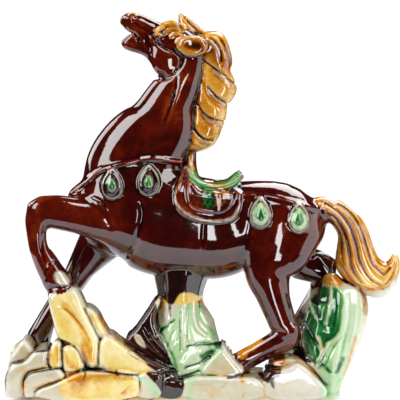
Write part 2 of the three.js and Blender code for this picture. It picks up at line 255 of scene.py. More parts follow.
def closed(points, steps=6):
    """A smooth closed line through the points."""
    p = np.array(points, float)
    ring = np.vstack([p[-2:], p, p[:2]])
    return flat_curve(ring, steps)[2 * steps:-(steps + 1)]


def smooth_step(x):
    t = np.clip(x, 0, 1)
    return t * t * (3 - 2 * t)


NO_RISE = -99.0  # a height that never wins
STROKES = 7  # the lengths that a line is drawn in, each with its own width
TAPER = 0.35  # how much thinner a line is at its ends


class Relief:
    """Heights over the side view, in millimetres."""

    def __init__(self, level=0.0):
        self.value = np.full((COUNT[0], COUNT[2]), level)

    def line(self, points, width, height):
        """A soft ridge, or a groove where its height is negative, that starts and ends thinner."""
        curve = flat_curve(points)
        parts = min(STROKES, len(curve) - 1)
        ends = [i * (len(curve) - 1) // parts for i in range(parts + 1)]
        for i in range(parts):
            piece = curve[ends[i]:ends[i + 1] + 1]
            full = 1 - TAPER * (2 * (i + 0.5) / parts - 1) ** 2
            where, x, z = window(piece, 2.5 * width)
            rise = height * full * np.exp(-((distances(piece, x, z) / (width * full)) ** 2))
            old = self.value[where]
            self.value[where] = np.where(np.abs(rise) > np.abs(old), rise, old)

    def shape(self, points, profile):
        """A closed form whose height goes by the depth inside its outline: (depth, height) pairs."""
        curve = closed(points)
        where, x, z = window(curve, 3)
        depth, height = np.array(profile, float).T
        rise = np.interp(depths(curve, x, z), depth, height, left=NO_RISE)
        self.value[where] = np.maximum(self.value[where], rise)

    def band(self, points, width, height):
        """A flat band with rounded edges along a line."""
        curve = flat_curve(points)
        where, x, z = window(curve, width)
        inside = width / 2 - distances(curve, x, z)
        rise = np.interp(inside, [-0.6, 0, 0.7, 1.6], [NO_RISE, -1, height * 0.8, height])
        self.value[where] = np.maximum(self.value[where], rise)


def blurred(field, millimetres, passes=2):
    """The field averaged over a box that many millimetres wide."""
    n = max(1, int(round(millimetres / VOXEL / 2)))
    out = field
    for _ in range(passes):
        for axis in range(out.ndim):
            pad = [(0, 0)] * out.ndim
            pad[axis] = (n + 1, n)
            padded = np.pad(out, pad, mode="edge")
            total = np.cumsum(padded, axis=axis, dtype=np.float32 if out.ndim == 2 else np.float64)
            ends = [slice(None)] * out.ndim
            starts = [slice(None)] * out.ndim
            ends[axis] = slice(2 * n + 1, None)
            starts[axis] = slice(None, -(2 * n + 1))
            out = ((total[tuple(ends)] - total[tuple(starts)]) / (2 * n + 1)).astype(np.float32)
    return out


rng = np.random.default_rng(SEED)


def waves(millimetres):
    """Smooth noise over the grid, with features of that size, about -1 to 1."""
    sizes = [int(len(a) * VOXEL / millimetres) + 4 for a in (XS, YS, ZS)]
    lattice = rng.uniform(-1.6, 1.6, sizes).astype(np.float32)
    for axis, at in enumerate((XS, YS, ZS)):
        place = (at - at[0]) / millimetres + 1
        cell = place.astype(int)
        t = (place - cell)[:, None]
        weights = np.zeros((len(at), sizes[axis]), np.float32)
        spline = [
            (1 - t) ** 3 / 6, (3 * t**3 - 6 * t**2 + 4) / 6,
            (-3 * t**3 + 3 * t**2 + 3 * t + 1) / 6, t**3 / 6]
        for offset, w in zip((-1, 0, 1, 2), spline):
            weights[np.arange(len(at)), cell + offset] += w[:, 0]
        lattice = np.moveaxis(np.tensordot(weights, lattice, axes=(1, axis)), 0, axis)
    return lattice


# The horse, by the modelling part's stations

TORSO = [
    [-91, 0, 151, 10, 13], [-81, 0, 145, 22, 22], [-65, 0, 141, 31, 28], [-46, 0, 138, 39.5, 31],
    [-28, 0, 132, 41.5, 31], [-9, 0, 128, 38.5, 31], [10, 0, 126, 37.5, 30], [25, 0, 128, 34.5, 28],
    [40, 0, 131, 31.5, 29], [58, 0, 131, 31, 30], [72, 0, 133, 27.5, 27], [82, 0, 136, 21, 21],
    [89, 0, 139, 11, 11]]
NECK = [
    [-66, 0, 148, 27, 25], [-55, 0, 167, 34, 25], [-44, 0, 184, 34, 22], [-30, 0, 204, 28, 18],
    [-23, 0, 222, 20.5, 16], [-16, 0, 234, 17.5, 15], [-9, 0, 247, 13, 14], [-5, 0, 259, 10, 12]]
HEAD = [
    [-7, 0, 260, 11, 12.5], [-17, 0, 264, 13.5, 12.5], [-28, 0, 268.5, 12, 11.5],
    [-39, 0, 273.5, 10.4, 9.5], [-47, 0, 277.5, 10, 8.4], [-52, 0, 280.4, 8.2, 8], [-56, 0, 281.9, 6.4, 7],
    [-58.5, 0, 282.2, 4, 5]]
JAW = [
    [-25, 0, 252.5, 11.5, 10.5], [-35, 0, 258.5, 9.5, 8.5], [-42, 0, 262.5, 8.4, 7],
    [-48, 0, 264.6, 7.6, 6.6], [-52.5, 0, 265.2, 6.8, 6.4], [-56.5, 0, 265.4, 5, 5.8],
    [-59, 0, 265.8, 3, 4]]
# Legs: stations [x, z, half width, half depth, share of the way in to the middle]
NEAR, FAR = -17, 16  # the middle of the near legs and of the far ones
FORELEG_NEAR = [
    [[-58, 137, 23, 13, 0.3], [-75, 134.5, 15.5, 12, 0.1], [-92, 137.5, 13.4, 11], [-107, 140, 12.8, 10.5],
     [-119, 141, 11.4, 10]],
    [[-121.5, 144, 8, 9], [-122, 133, 9, 9], [-122.5, 124, 7.4, 7.5], [-120.5, 113, 7.4, 7],
     [-115, 101.5, 9, 8], [-109, 91, 10, 9.5]],
    [[-107.5, 89, 10, 9.5], [-105, 84, 10.5, 10.5], [-103.5, 80, 11, 11]]]
FORELEG_FAR = [
    [[-66, 126, 22, 13, 0.3], [-80, 111, 15.5, 12], [-91, 96, 11, 10], [-98, 84, 9, 9], [-106, 74, 8, 8]],
    [[-106, 74, 8, 8], [-115, 61, 7, 7.5], [-121, 49, 8, 8], [-124, 41, 9, 9], [-124, 33, 8, 9]]]
HINDLEG_NEAR = [
    [[64, 130, 27, 15, 0.2], [55.5, 111, 25, 14.5], [50, 94, 18, 12], [53, 79, 13, 10.5], [58, 64, 11, 9.5],
     [62.5, 52, 10.5, 9]],
    [[66.5, 53, 8, 8], [65, 47.5, 9.5, 8.5], [55, 42, 9, 8], [42, 35, 8, 7.5], [32, 29, 8.5, 8],
     [27, 25, 8, 8]],
    [[30, 27, 8, 8], [24.5, 22.5, 8.5, 9.5], [21.5, 18, 9, 10]]]
HINDLEG_FAR = [
    [[62, 122, 22, 14, 0.2], [76, 101, 15, 12], [86, 97, 12.5, 10], [92, 98, 11, 9.5]],
    [[95, 99, 8, 8.5], [93, 87, 8.5, 8], [87, 75, 7, 7.5], [79, 60, 7, 7.5], [73, 45, 8, 8],
     [69, 32, 9, 9]]]


def leg(side, stations):
    """A length of leg on one side, which may lean in towards the middle."""
    return loft([[x, side * (1 - sum(inward)), z, wide, deep] for x, z, wide, deep, *inward in stations])


# Outlines measured on the picture, in its pixels
HEAD_OUTLINE = seen(-4, [
    (188, 20), (176, 24), (166, 23), (160, 22.5), (152, 18.5), (145, 15), (138, 12), (130, 11), (124, 13),
    (120, 18), (120, 25), (123, 28.5), (127, 30.5), (129.5, 33), (127.5, 35.5), (124, 37.5), (121.3, 41),
    (121.3, 45), (123.5, 48.5), (128, 51), (135, 52.8), (141, 54.5), (146, 57.5), (149, 61), (152, 66),
    (154.5, 72), (156, 79), (175, 100), (210, 90), (212, 20)])
HEAD_FROM, HEAD_TO = 238.0, -8.0  # the outline trims the head above that height, and in front of that x

horse = Form()
horse.add(loft(TORSO, sides=48), 2)
horse.add(loft(NECK, sides=40), 7)
skin = horse.field.copy()  # what the saddle and the straps lie on

for side, legs in ((NEAR, FORELEG_NEAR), (FAR, FORELEG_FAR), (NEAR, HINDLEG_NEAR), (FAR, HINDLEG_FAR)):
    for i, stations in enumerate(legs):
        horse.add(leg(side, stations), 7 if i == 0 else 3.5)
horse.add(loft(HEAD, sides=40), 4)
horse.add(loft(JAW, sides=36), 2.5)
for way in MIRRORED:
    horse.add(ball([-26, way * 7, 253], [12.5, 5.5, 12.5], 20), 2)  # cheek
    horse.add(ball([-31, way * 9.6, 270.5], [4, 3.2, 3], 30), 1.5)  # eye
    horse.add(ball([-52.5, way * 6.4, 284], [4.2, 2.6, 3], 10), 1.5)  # nostril
horse.add(ball([-48.5, 0, 270.5], [9.5, 7.2, 5.5], -20), 2)  # behind the lips
high = slice(np.searchsorted(ZS, HEAD_FROM), None)
front = slice(0, np.searchsorted(XS, HEAD_TO))
trim = -depths(closed(HEAD_OUTLINE), XS[front][:, None], ZS[high][None, :]).astype(np.float32)
horse.field[front, :, high] = larger(horse.field[front, :, high], trim[:, None], 2.0)

# Mane, tail, ears and forelock

MANE_OUTLINE = seen(-6, [
    (205, 31.5), (214, 31), (222, 33), (227, 40), (230.5, 50), (232.5, 60), (232, 66), (230.5, 70),
    (234, 78), (236.5, 86), (236.5, 92), (233, 99), (229.5, 103), (227.5, 108), (226.5, 115), (225, 122),
    (222, 129), (219, 137), (213, 146), (205, 150.5), (196, 152.5), (187, 151), (186, 140), (188, 128),
    (192, 112), (195, 90), (197, 75), (197, 57), (194, 45), (197, 35)])
TAIL_OUTLINE = seen(-4, [
    (312, 200), (322, 197), (332, 198), (342, 202), (352, 208.5), (360, 216), (367, 227), (371, 238),
    (375, 250), (380, 259), (386, 262.5), (390.5, 259), (392, 256), (396, 254), (399.3, 259), (400, 268),
    (398, 280), (393, 289), (386, 296), (377, 299), (366, 295.5), (355, 288.5), (345, 280.5), (337, 270),
    (335.5, 260), (337, 248), (338, 236), (333, 227), (324, 220), (312, 216)])


def add_pillow(form, outline, half_depth, round_over, blend=1.5):
    """Adds a closed outline that is swelled to both sides of the middle."""
    curve = closed(outline)
    (bx, bz), x, z = window(curve, HAIR_REACH)
    s = depths(curve, x, z)
    inward = 1 - np.clip(s / round_over, 0, 1)
    half = half_depth * np.sqrt(1 - inward**2)
    thick = np.abs(YS)[None, :, None] - half[:, None, :]
    form.join((bx, slice(None), bz), np.maximum(thick, -s[:, None, :]), blend)


hair = Form(HAIR_REACH)
add_pillow(hair, MANE_OUTLINE, 11.5, 9)
add_pillow(hair, TAIL_OUTLINE, 10, 9)
FAR_EAR = [
    [-6.5, 3, 270, 10, 5], [-10.8, 4, 277.5, 7.2, 4.2], [-13.8, 5, 283, 4.6, 3.2],
    [-15.2, 5.5, 286.2, 2.4, 2.2]]
hair.add(loft(FAR_EAR), 1)
WISPS = [  # curls over the brow, on the picture: root, middle, tip and half width
    [(184, 28), (174, 24), (165, 25), (158.5, 30), 2.7], [(183, 31), (175, 28), (167, 31), (162, 39), 2.5],
    [(183, 36), (177, 33), (171, 37), (169, 46), 2.5], [(184, 42), (179, 40), (176, 44), (176, 52), 2.4],
    [(163, 27), (158, 30), (157.5, 35), (163, 40), 2.0]]
WISP_TAPER, WISP_SPREAD, WISP_DEPTH = (1.1, 1, 0.9, 0.5), (10, 10.5, 9.5, 8.5), 3.2
for way in MIRRORED:
    for *curl, wide in WISPS:
        hair.add(loft([
            [x, way * away, z, wide * k, WISP_DEPTH * k]
            for (x, z), k, away in zip(seen(-10, curl), WISP_TAPER, WISP_SPREAD)]), 0.6)
ear = Form(HAIR_REACH)
ear.add(ball([-6.8, -13.5, 263.2], [11.6, 5, 8.2], -4))
ear.cut(ball([-6.8, -21.6, 264.0], [11.0, 5.6, 7.4], -4), 1.2)
hair.field = smaller(hair.field, ear.field, 0.8)

# Saddle, blanket, straps and drops, as heights above the horse's skin

BLANKET = [
    (-12, 174), (-18, 163), (-21, 152), (-18, 142), (-8, 135.5), (4, 132.6), (16, 132.5), (26, 136),
    (29.5, 146), (29, 156), (20, 160), (6, 159), (-2, 162), (-7, 170)]
PAD = [
    (-10, 166), (-11.5, 152), (-8, 144.5), (2, 141), (16, 140.5), (22.5, 146), (24.5, 156), (12, 157),
    (0, 158), (-6, 164)]
STRAP = 5.0  # the straps' width
COLLAR = [(-101, 151), (-97, 155), (-84, 164), (-75, 171.5), (-58, 176.5), (-38, 180), (-15, 177)]
CRUPPER = [(26, 154), (46, 153), (60, 150.5), (75, 146), (92, 141)]
DROPS = [(-66, 162), (-39, 164.5), (43.5, 140.5), (72, 136.5)]
DROP_RIGHT = [(4, 8.5), (7.5, 2.5), (8.3, -3.5), (6, -9)]
DROP = [(0, 12), *DROP_RIGHT, (0, -11.8), *[(-u, v) for u, v in reversed(DROP_RIGHT)]]
# Profiles: (depth inside the outline, height above the skin)
BLANKET_PROFILE = [(-0.8, -6), (0, -0.5), (0.5, 1.8), (1.2, 2.7), (2.0, 2.6), (2.8, 1.8), (5, 2.2)]
PAD_PROFILE = [(-0.8, -6), (0, 1), (0.6, 3.6), (1.3, 4.6), (2.2, 4.6), (3, 3.8), (4, 4.2)]
DROP_PROFILE = [
    (-0.8, -6), (0, 0), (0.5, 2.8), (1.3, 3.8), (2.0, 3.2), (2.5, 2.2), (3.2, 3.4), (4.6, 5.6), (8, 6.8)]

tack_height = Relief(-6.0)
tack_height.shape(BLANKET, BLANKET_PROFILE)
tack_height.shape(PAD, PAD_PROFILE)
tack_height.band(COLLAR, STRAP, 1.6)
tack_height.band(CRUPPER, STRAP, 0.9)
for x, z in DROPS:
    tack_height.shape([(x + u, z + v) for u, v in DROP], DROP_PROFILE)
tack = Form()
tack.field = np.minimum(skin - blurred(tack_height.value, 0.9, 1)[:, None], REACH).astype(np.float32)
SEAT = [
    [-8.5, 0, 171, 4, 14], [-5.5, 0, 162.5, 4.5, 18], [2, 0, 158.5, 4.5, 19.5], [12, 0, 157.5, 4.5, 19.5],
    [21, 0, 160, 4.5, 18], [27.5, 0, 167, 2.8, 15]]
POMMEL = [[-7.5, 0, 183, 3.6, 7], [-8, 0, 176, 4.2, 11], [-7.5, 0, 168, 4.6, 17], [-6, 0, 162, 5, 19]]
tack.add(loft(SEAT, power=2.6, cap=0.4), 1.5)
tack.add(loft(POMMEL, power=2.6), 2)
LIP = seen(-20, [(186, 168), (191, 177), (200, 184.5), (212, 187.5), (225, 187), (236, 182), (241, 176)])
for way in MIRRORED:
    tack.add(loft([[x, way * 18.5, z, 2.4, 3.0] for x, z in LIP]), 1.5)

# The rocks and the base

UNDER_HOOF = [
    [-104.5, -18, 78, 10.5, 12], [-103, -18, 69, 13, 15], [-96.5, -17, 56, 16.5, 19], [-90, -16, 43, 16, 22],
    [-81, -20, 24, 6.5, 18]]
MIDDLE_PILLAR = [
    [-15.5, 0, 95, 22, 19], [-16.5, 0, 73, 17.5, 17], [-15.5, 0, 59, 22.5, 20], [-13.5, 0, 50, 24.5, 23],
    [-7, 0, 35, 22, 28], [-4, 0, 18, 22, 32]]
HIND_PILLAR = [
    [97, 2, 90, 6, 8], [99.5, 2, 82, 11, 13], [103.5, 2, 73, 21, 18], [102, 2, 62, 23.5, 22],
    [97.5, 2, 46, 23.5, 26], [95, 2, 27, 19, 30], [95, 2, 8, 10, 30]]
BOULDERS = [
    # beside the rock under the hoof
    [[-86, -8, 64, 3.5, 12], [-82.5, -8, 57, 6, 16], [-79, -6, 47, 8, 20], [-76, -4, 34, 10, 26]],
    # the slope down to the middle
    [[-75, -6, 30, 14, 30], [-66, -8, 28, 13, 32], [-55, -8, 25, 10.5, 33], [-40, -8, 20, 9, 33],
     [-22, -6, 16, 7, 30]],
    # inside the dark crag that leans on the middle pillar
    [[-35, -2, 62, 3, 8], [-39, -2, 50, 8, 12], [-38, -2, 41, 11, 16], [-31, -4, 26, 13, 20]],
    # under the far forehoof, and in front of it
    [[-133, 10, 38, 5, 12], [-136, 8, 32, 8, 18], [-137.5, 4, 20, 8, 26], [-138, 2, 6, 9, 28]],
    [[-139, -2, 15, 13, 24], [-130, -4, 17, 15, 30], [-118, -6, 17.5, 16, 32], [-100, -6, 17, 16, 33]],
    [[-132, -28, 9, 9, 10], [-120, -29, 11, 10, 12], [-107, -29, 11, 11, 12]],
    # upright stones in front of the rock under the hoof
    [[-110, -26, 41, 3, 5], [-110, -26, 32, 5.5, 8], [-110, -26, 18, 6, 10]],
    [[-98, -29, 34, 6, 6], [-97, -30, 27, 8.5, 8], [-96.5, -30, 14, 9.5, 9]],
    # stones between the middle pillar and the hind feet
    [[8, -10, 22, 12, 24], [20, -12, 16, 8, 26], [34, -12, 12, 8, 26], [46, -10, 11, 8, 26]],
    [[54, 0, 23, 9, 24], [64, 0, 22, 12, 28], [76, 2, 20, 13, 30], [86, 2, 16, 12, 30]],
    [[50, 6, 36, 6, 12], [58, 6, 32, 8, 16], [68, 6, 30, 9, 18]]]
BASE_LEFT, BASE_RIGHT, BASE_DEPTH, BASE_HEIGHT = -148.0, 105.0, 86.0, 17.0
BASE_FLATTER = 0.93  # what the depth is brought down by
LOBES, LOBE_SHARE = 7, 0.04  # the base's edge goes in and out by that share
RECESS = 2.4  # how far the rocks on the near left stand back behind their stones


def rock(stations, power=2.6, sides=7):
    """A rough rock through a few stations, with few sides."""
    return loft(stations, power, cap=0.5, steps=3, sides=sides)


def base_outline():
    middle, reach = (BASE_LEFT + BASE_RIGHT) / 2, (BASE_RIGHT - BASE_LEFT) / 2
    rows = []
    for angle in np.linspace(0, 2 * math.pi, 40, endpoint=False):
        c, s = math.cos(angle), math.sin(angle)
        lobe = 1 - LOBE_SHARE * (1 + math.cos(LOBES * angle))
        x = middle + reach * np.sign(c) * abs(c) ** 0.5 * (1 if abs(s) < 1e-9 else lobe)
        rows.append((x, BASE_DEPTH / 2 * np.sign(s) * abs(s) ** 0.7 * lobe))
    return np.array(rows)


stand = Form()
stand.add(rock(UNDER_HOOF), 2)
stand.add(rock(MIDDLE_PILLAR, 2.2, 9), 2)
stand.add(rock(HIND_PILLAR, 2.2, 9), 2)
for stations in BOULDERS:
    stand.add(rock(stations), 2)
edge = -depths(base_outline() * [1, BASE_FLATTER], XS[:, None], YS[None, :])
slab = larger(edge[:, :, None].astype(np.float32), (ZS - BASE_HEIGHT)[None, None].astype(np.float32), 5.0)
stand.join(..., slab, 3.0)
stand.field = blurred(stand.field, 1.6, 1)
near_left = smooth_step((-YS - 2) / 12)[None, :, None] * smooth_step((-22 - XS) / 10)[:, None, None]
stand.field += (RECESS * near_left).astype(np.float32)
stand.field += 0.7 * waves(13.0) + 0.3 * waves(6.0)


def add_block(form, pixels, front, back, round_over, lean, blend=0.8):
    """Adds a rock by its outline on the picture, from a front plane that leans back to a back plane."""
    curve = closed(seen(front, pixels), 4)
    (bx, bz), x, z = window(curve, 5)
    s = depths(curve, x, z)
    inward = 1 - np.clip(s / round_over, 0, 1)
    drop = round_over * (1 - np.sqrt(1 - inward**2))
    face = front + lean * (z - z[:, :1]) + drop
    rear = back - drop
    thick = np.maximum(face[:, None] - YS[None, :, None], YS[None, :, None] - rear[:, None])
    form.join((bx, slice(None), bz), np.maximum(thick, -s[:, None, :]), blend)


BLOCKS = [  # outline on the picture, front plane, back plane, rounding of its edges and lean
    # the tall rock under the hoof, and the small one behind it
    ([(47.5, 297), (58, 292.5), (74, 290), (79, 296), (86, 311), (94, 328), (99, 341), (98.5, 356),
      (96, 367), (91, 369), (87, 365), (83, 357), (79, 350), (71, 346), (62, 343), (57.5, 339), (52, 322),
      (48, 307)], -38, 2, 5.0, 0.16),
    ([(84, 308), (90, 309), (97, 315), (103, 326), (108, 336), (102, 339), (98, 337), (93, 326), (87, 315)],
      -30, 8, 3.0, 0.1),
    # the slope down to the middle
    ([(108, 336), (101, 341), (98.5, 350), (99, 364), (104, 369), (120, 372), (140, 374), (158, 375),
      (170, 371), (150, 361), (130, 351), (117, 342)], -37, 14, 4.0, 0.1),
    # under the far forehoof, and the big one in front of it
    ([(23, 341), (29, 345), (33, 352), (30, 358), (22, 361.5), (13, 363), (9, 360), (15, 350)],
      -29, 14, 3.0, 0.0),
    ([(34, 352), (47, 350), (50, 354), (48, 360), (49.5, 367), (52, 368.5), (40, 370), (27, 374.5),
      (23.5, 381), (23, 397), (6, 397), (3.5, 388), (5, 376), (9, 368), (13, 364.5), (25, 361)],
      -37, 12, 4.0, 0.0),
    # the upright stones
    ([(58, 341), (52, 345), (48.5, 358), (49.5, 366), (54, 368.5), (61, 368), (62, 355), (61, 345)],
      -38.5, -12, 2.6, 0.1),
    ([(63, 348.5), (72, 346.5), (79, 350), (82.5, 359), (84, 368), (76, 371.5), (66, 372.5), (62.5, 368),
      (62, 357)], -39.5, -8, 3.4, 0.1),
    # the lower course
    ([(28, 374.5), (40, 370.5), (57, 368.5), (64, 376), (61, 380), (48, 384.5), (36, 390), (33, 397),
      (25, 397), (24, 382)], -40.5, -10, 3.0, 0.0),
    ([(63, 380), (80, 373), (105, 371), (136, 374), (139, 385), (137, 397), (35, 397), (37, 391),
      (50, 386)], -41, 0, 3.0, 0.0),
    ([(139, 375), (162, 374), (163, 385), (161, 397), (138, 397), (140, 385)], -39.5, 0, 3.0, 0.0),
    # the dark crag
    ([(157, 299), (148, 311), (142, 320), (134, 331), (125, 341), (130, 347), (150, 361), (168, 371),
      (177, 370), (179, 363), (171, 350), (161, 336), (156, 324), (157, 312), (160, 302)],
      -24, 14, 4.0, 0.14),
    # the stones right of the middle, and the base's front below them
    ([(201, 373), (206, 363), (214, 355), (223, 347), (229, 353), (236, 362), (244, 372), (240, 377),
      (215, 378)], -36, 16, 3.5, 0.1),
    ([(184, 379), (205, 377), (232, 378), (260, 381), (264, 397), (182, 397), (181, 388)],
      -40.5, 0, 3.0, 0.0),
    ([(263, 382), (268, 372), (286, 369), (298, 364), (309, 370), (318, 379), (326, 387), (326, 397),
      (264, 397)], -39.5, 10, 3.5, 0.0)]
for pixels, front, back, round_over, lean in BLOCKS:
    add_block(stand, pixels, front, back, round_over, lean)
horse.field += 0.12 * waves(14.0)

# Carving: lines on the picture, each with its width and height in millimetres

HORSE_LINES = [
    # neck, throat and cheek
    ([(177, 76), (176, 88), (172, 102), (165, 120)], 1.3, -1.6),
    ([(154, 77.5), (160, 78.8), (168, 78.3), (175, 75)], 1.1, -1.8),
    ([(152, 33), (156, 41), (162, 46), (170, 50), (177, 52), (182, 57), (181.5, 63), (178, 70), (173, 76)],
      1.0, -1.7),
    # mouth, nostril and the lines of the nose
    ([(128, 33.5), (133, 33.5), (137, 37), (139, 41)], 0.9, -1.8),
    ([(128, 16.5), (131.5, 15), (135, 17.5)], 0.9, -1.6),
    ([(133, 21), (140, 27), (146, 30), (151, 34)], 0.9, -1.0),
    ([(145, 33), (148, 41), (150, 50), (149, 57)], 1.0, -1.1),
    ([(141, 38), (144, 45), (147, 51)], 1.1, 0.9),
    ([(158, 27), (161, 33), (165, 36)], 0.9, -1.1),
    # shoulder, chest and girth
    ([(141, 203), (143, 213), (139, 230), (134, 246), (124, 258)], 2.2, -1.8),
    ([(93, 197), (100, 200), (106, 206), (108, 209)], 1.1, -1.5),
    ([(204, 219), (203, 236), (203, 255), (202, 272)], 1.1, -0.8),
    ([(84, 199), (96, 205), (106, 214), (112, 226)], 2.5, -0.8),
    # the raised leg's knee and fetlock
    ([(44, 226), (42.5, 238), (43, 250), (46, 260)], 1.0, -1.2),
    ([(48, 230), (48, 244), (53, 257)], 0.9, -0.8),
    ([(46, 272), (50, 265), (56, 261), (62, 268), (70, 277), (75, 286)], 0.9, -1.1),
    ([(48, 287), (60, 285.5), (75, 286)], 0.9, -1.4),
    # the flank and the hind leg
    ([(252, 205), (250, 225), (246, 245), (243, 260)], 2.4, -0.7),
    ([(281, 282), (287, 296), (290, 312)], 1.1, -0.9),
    ([(262, 336), (272, 330), (284, 331)], 1.4, -0.8),
    ([(297, 322), (301, 330), (298, 338)], 1.1, -0.8),
    ([(226, 355), (233, 357), (238, 364), (240, 373)], 0.9, -1.3),
    ([(236, 374), (250, 369), (268, 362)], 1.0, -1.0),
]
MANE_GROOVES = [
    # the lower edge of each lock
    ([(199, 57), (206, 62), (214, 68), (225, 76), (235, 84)], 1.0, -2.2),
    ([(207.5, 87), (212, 92), (218, 98), (228, 104.5)], 1.0, -2.8),
    ([(198, 105), (204, 113.5), (212, 118.5), (224, 121.5)], 1.0, -2.4),
    ([(191, 119), (195.5, 131), (203, 138.5), (212, 140.5)], 1.2, -3.2),
    # the locks behind the ear
    ([(209, 37), (215, 42), (220, 50), (221.5, 61)], 1.0, -1.7),
    ([(219, 37), (225, 46), (229, 58), (230, 67)], 0.9, -1.5),
    ([(204, 83), (206, 92), (212, 101), (220, 109)], 0.9, -1.3),
    ([(189, 138), (193, 144), (200, 147)], 0.9, -1.2),
    # the scoops under the locks
    ([(206, 65), (216, 73), (228, 82)], 2.6, -1.1), ([(209, 91), (215, 99), (225, 107)], 2.4, -1.4),
    ([(200, 110), (207, 119), (219, 125)], 2.6, -1.4), ([(194, 130), (200, 140), (208, 144)], 2.2, -1.4),
    # where the mane meets the neck
    ([(197, 57), (198, 75), (196, 92), (191.5, 112), (186.5, 133), (186, 152)], 1.2, -2.0),
]
TAIL_GROOVES = [
    ([(324, 203), (338, 212), (349, 226), (356, 244), (360, 262), (370, 279), (382, 286)], 1.2, -2.0),
    ([(322, 209), (336, 219), (345, 233), (349, 250), (352, 268), (362, 283)], 1.1, -1.8),
    ([(332, 201), (348, 210), (360, 226), (366, 245), (373, 264), (384, 274), (391, 268)], 1.1, -1.8),
    ([(322, 214), (333, 223), (341, 236), (342, 254), (345, 270)], 1.0, -1.4),
    ([(346, 204), (358, 216), (366, 232), (372, 250), (380, 264)], 0.9, -1.3),
    ([(356, 284), (372, 289), (386, 284), (395, 268), (396, 258)], 1.0, -1.5),
    ([(340, 262), (348, 276), (362, 290)], 0.9, -1.0),
]
HEAD_HAIR_LINES = [
    ([(183, 14), (188, 22), (195, 29), (201, 33)], 0.9, -1.3),
    ([(178, 20), (181, 27), (186, 32)], 0.9, -1.0),
    ([(182, 34), (192, 33), (204, 34)], 1.0, -1.8),
    ([(180, 52), (184, 57), (192, 58), (203, 55)], 0.9, -1.4),
]
ROCK_LINES = [
    # the tall rock
    ([(61, 307), (68, 311), (76, 319), (85, 330), (90, 340)], 1.3, -1.3),
    ([(74, 300), (82, 314), (90, 328)], 1.6, 0.8),
    # folds of the middle pillar
    ([(184, 308), (183, 325), (184, 348)], 1.4, 1.3),
    ([(180, 314), (180, 332), (180, 352)], 1.0, -1.0),
    ([(188, 306), (187, 325), (188, 346)], 1.0, -1.0),
    ([(194, 306), (194, 318), (198, 330), (206, 337)], 1.3, 1.2),
    ([(199, 304), (200, 316), (206, 327), (212, 333)], 1.0, -0.9),
    ([(156, 338), (163, 331), (174, 322)], 1.0, -1.1),
    ([(171, 351), (174, 342), (178, 331)], 1.1, 1.0),
    ([(167, 352), (169, 342), (173, 333)], 0.9, -0.9),
    ([(187, 347), (199, 344.5), (211, 345.5), (223, 348)], 1.0, -1.7),
    ([(184, 364), (190, 356), (201, 351), (212, 350)], 2.2, 1.7),
    ([(185, 367.5), (197, 364), (210, 357)], 1.0, -1.8),
    ([(181, 377.5), (190, 375), (199, 371)], 1.2, -2.0),
    ([(160, 316), (164, 324), (166, 334)], 1.4, -0.9),
    # the crag
    ([(143, 326), (150, 338), (160, 350), (170, 361)], 1.1, -1.3),
    ([(133, 336), (146, 349), (162, 362)], 1.0, -1.2),
    # the hind pillar
    ([(311, 302), (314, 314), (318, 322)], 1.2, 0.9),
    ([(318, 294), (319, 310), (322, 326)], 1.2, -1.2),
    ([(333, 290), (332, 308), (327, 326)], 1.4, 1.2),
    ([(338, 296), (337, 315), (333, 332)], 1.2, -1.2),
    ([(304, 326), (312, 338), (318, 352)], 1.2, -1.1),
    ([(338, 336), (328, 346), (320, 360), (316, 368)], 1.2, 1.1),
    ([(342, 338), (333, 350), (326, 364)], 1.0, -1.1),
    ([(349, 296), (350, 320), (344, 345), (338, 372)], 1.3, -1.1),
    ([(358, 300), (357, 322), (352, 345)], 1.2, 0.7),
    ([(291, 358), (300, 359), (311, 369), (326, 385)], 1.1, -1.9),
]
CHEEK = [
    (152, 35), (158, 43), (166, 48), (175, 51), (181, 57), (180.5, 63), (177, 70), (171, 75), (163, 74.5),
    (156, 70), (151, 62), (147.5, 50), (147, 40)]
CHEEK_PROFILE = [(-0.6, 0), (0.4, 0.5), (1.6, 1.2), (4, 1.5)]
cheek = Relief()
cheek.shape(seen(-14, CHEEK), CHEEK_PROFILE)
horse.raise_by(blurred(cheek.value, 0.8, 1))
for form, y, lines in (  # y is about where the carved surface lies
        (horse, -15, HORSE_LINES), (hair, -10, MANE_GROOVES + TAIL_GROOVES + HEAD_HAIR_LINES),
        (stand, -28, ROCK_LINES)):
    carving = Relief()
    for pixels, width, height in lines:
        carving.line(seen(y, pixels), width, height)
    form.raise_by(carving.value)

# One surface over everything

HALF_WIDEST = 41.1  # nothing reaches further from the middle
forms = [horse.field, hair.field, tack.field, stand.field]
whole = smaller(smaller(forms[0], forms[1], 1.2), smaller(forms[2], forms[3], 1.0), 1.2)
whole = larger(whole, -ZS[None, None].astype(np.float32), 1.0)
whole = larger(whole, (np.abs(YS) - HALF_WIDEST)[None, :, None].astype(np.float32), 1.0)


def sample(field, points):
    """The values of a field, or of a map of x and z, at points, blended between its cells."""
    axes = [0, 1, 2] if field.ndim == 3 else [0, 2]
    place = points[:, axes] / VOXEL - FIRST[axes]
    cell = np.clip(place.astype(int), 0, np.array(field.shape) - 2)
    t = place - cell
    out = 0
    for corner in np.ndindex(*(2,) * field.ndim):
        weight = np.prod([t[:, i] if c else 1 - t[:, i] for i, c in enumerate(corner)], axis=0)
        out = out + weight * field[tuple(cell[:, i] + c for i, c in enumerate(corner))]
    return out


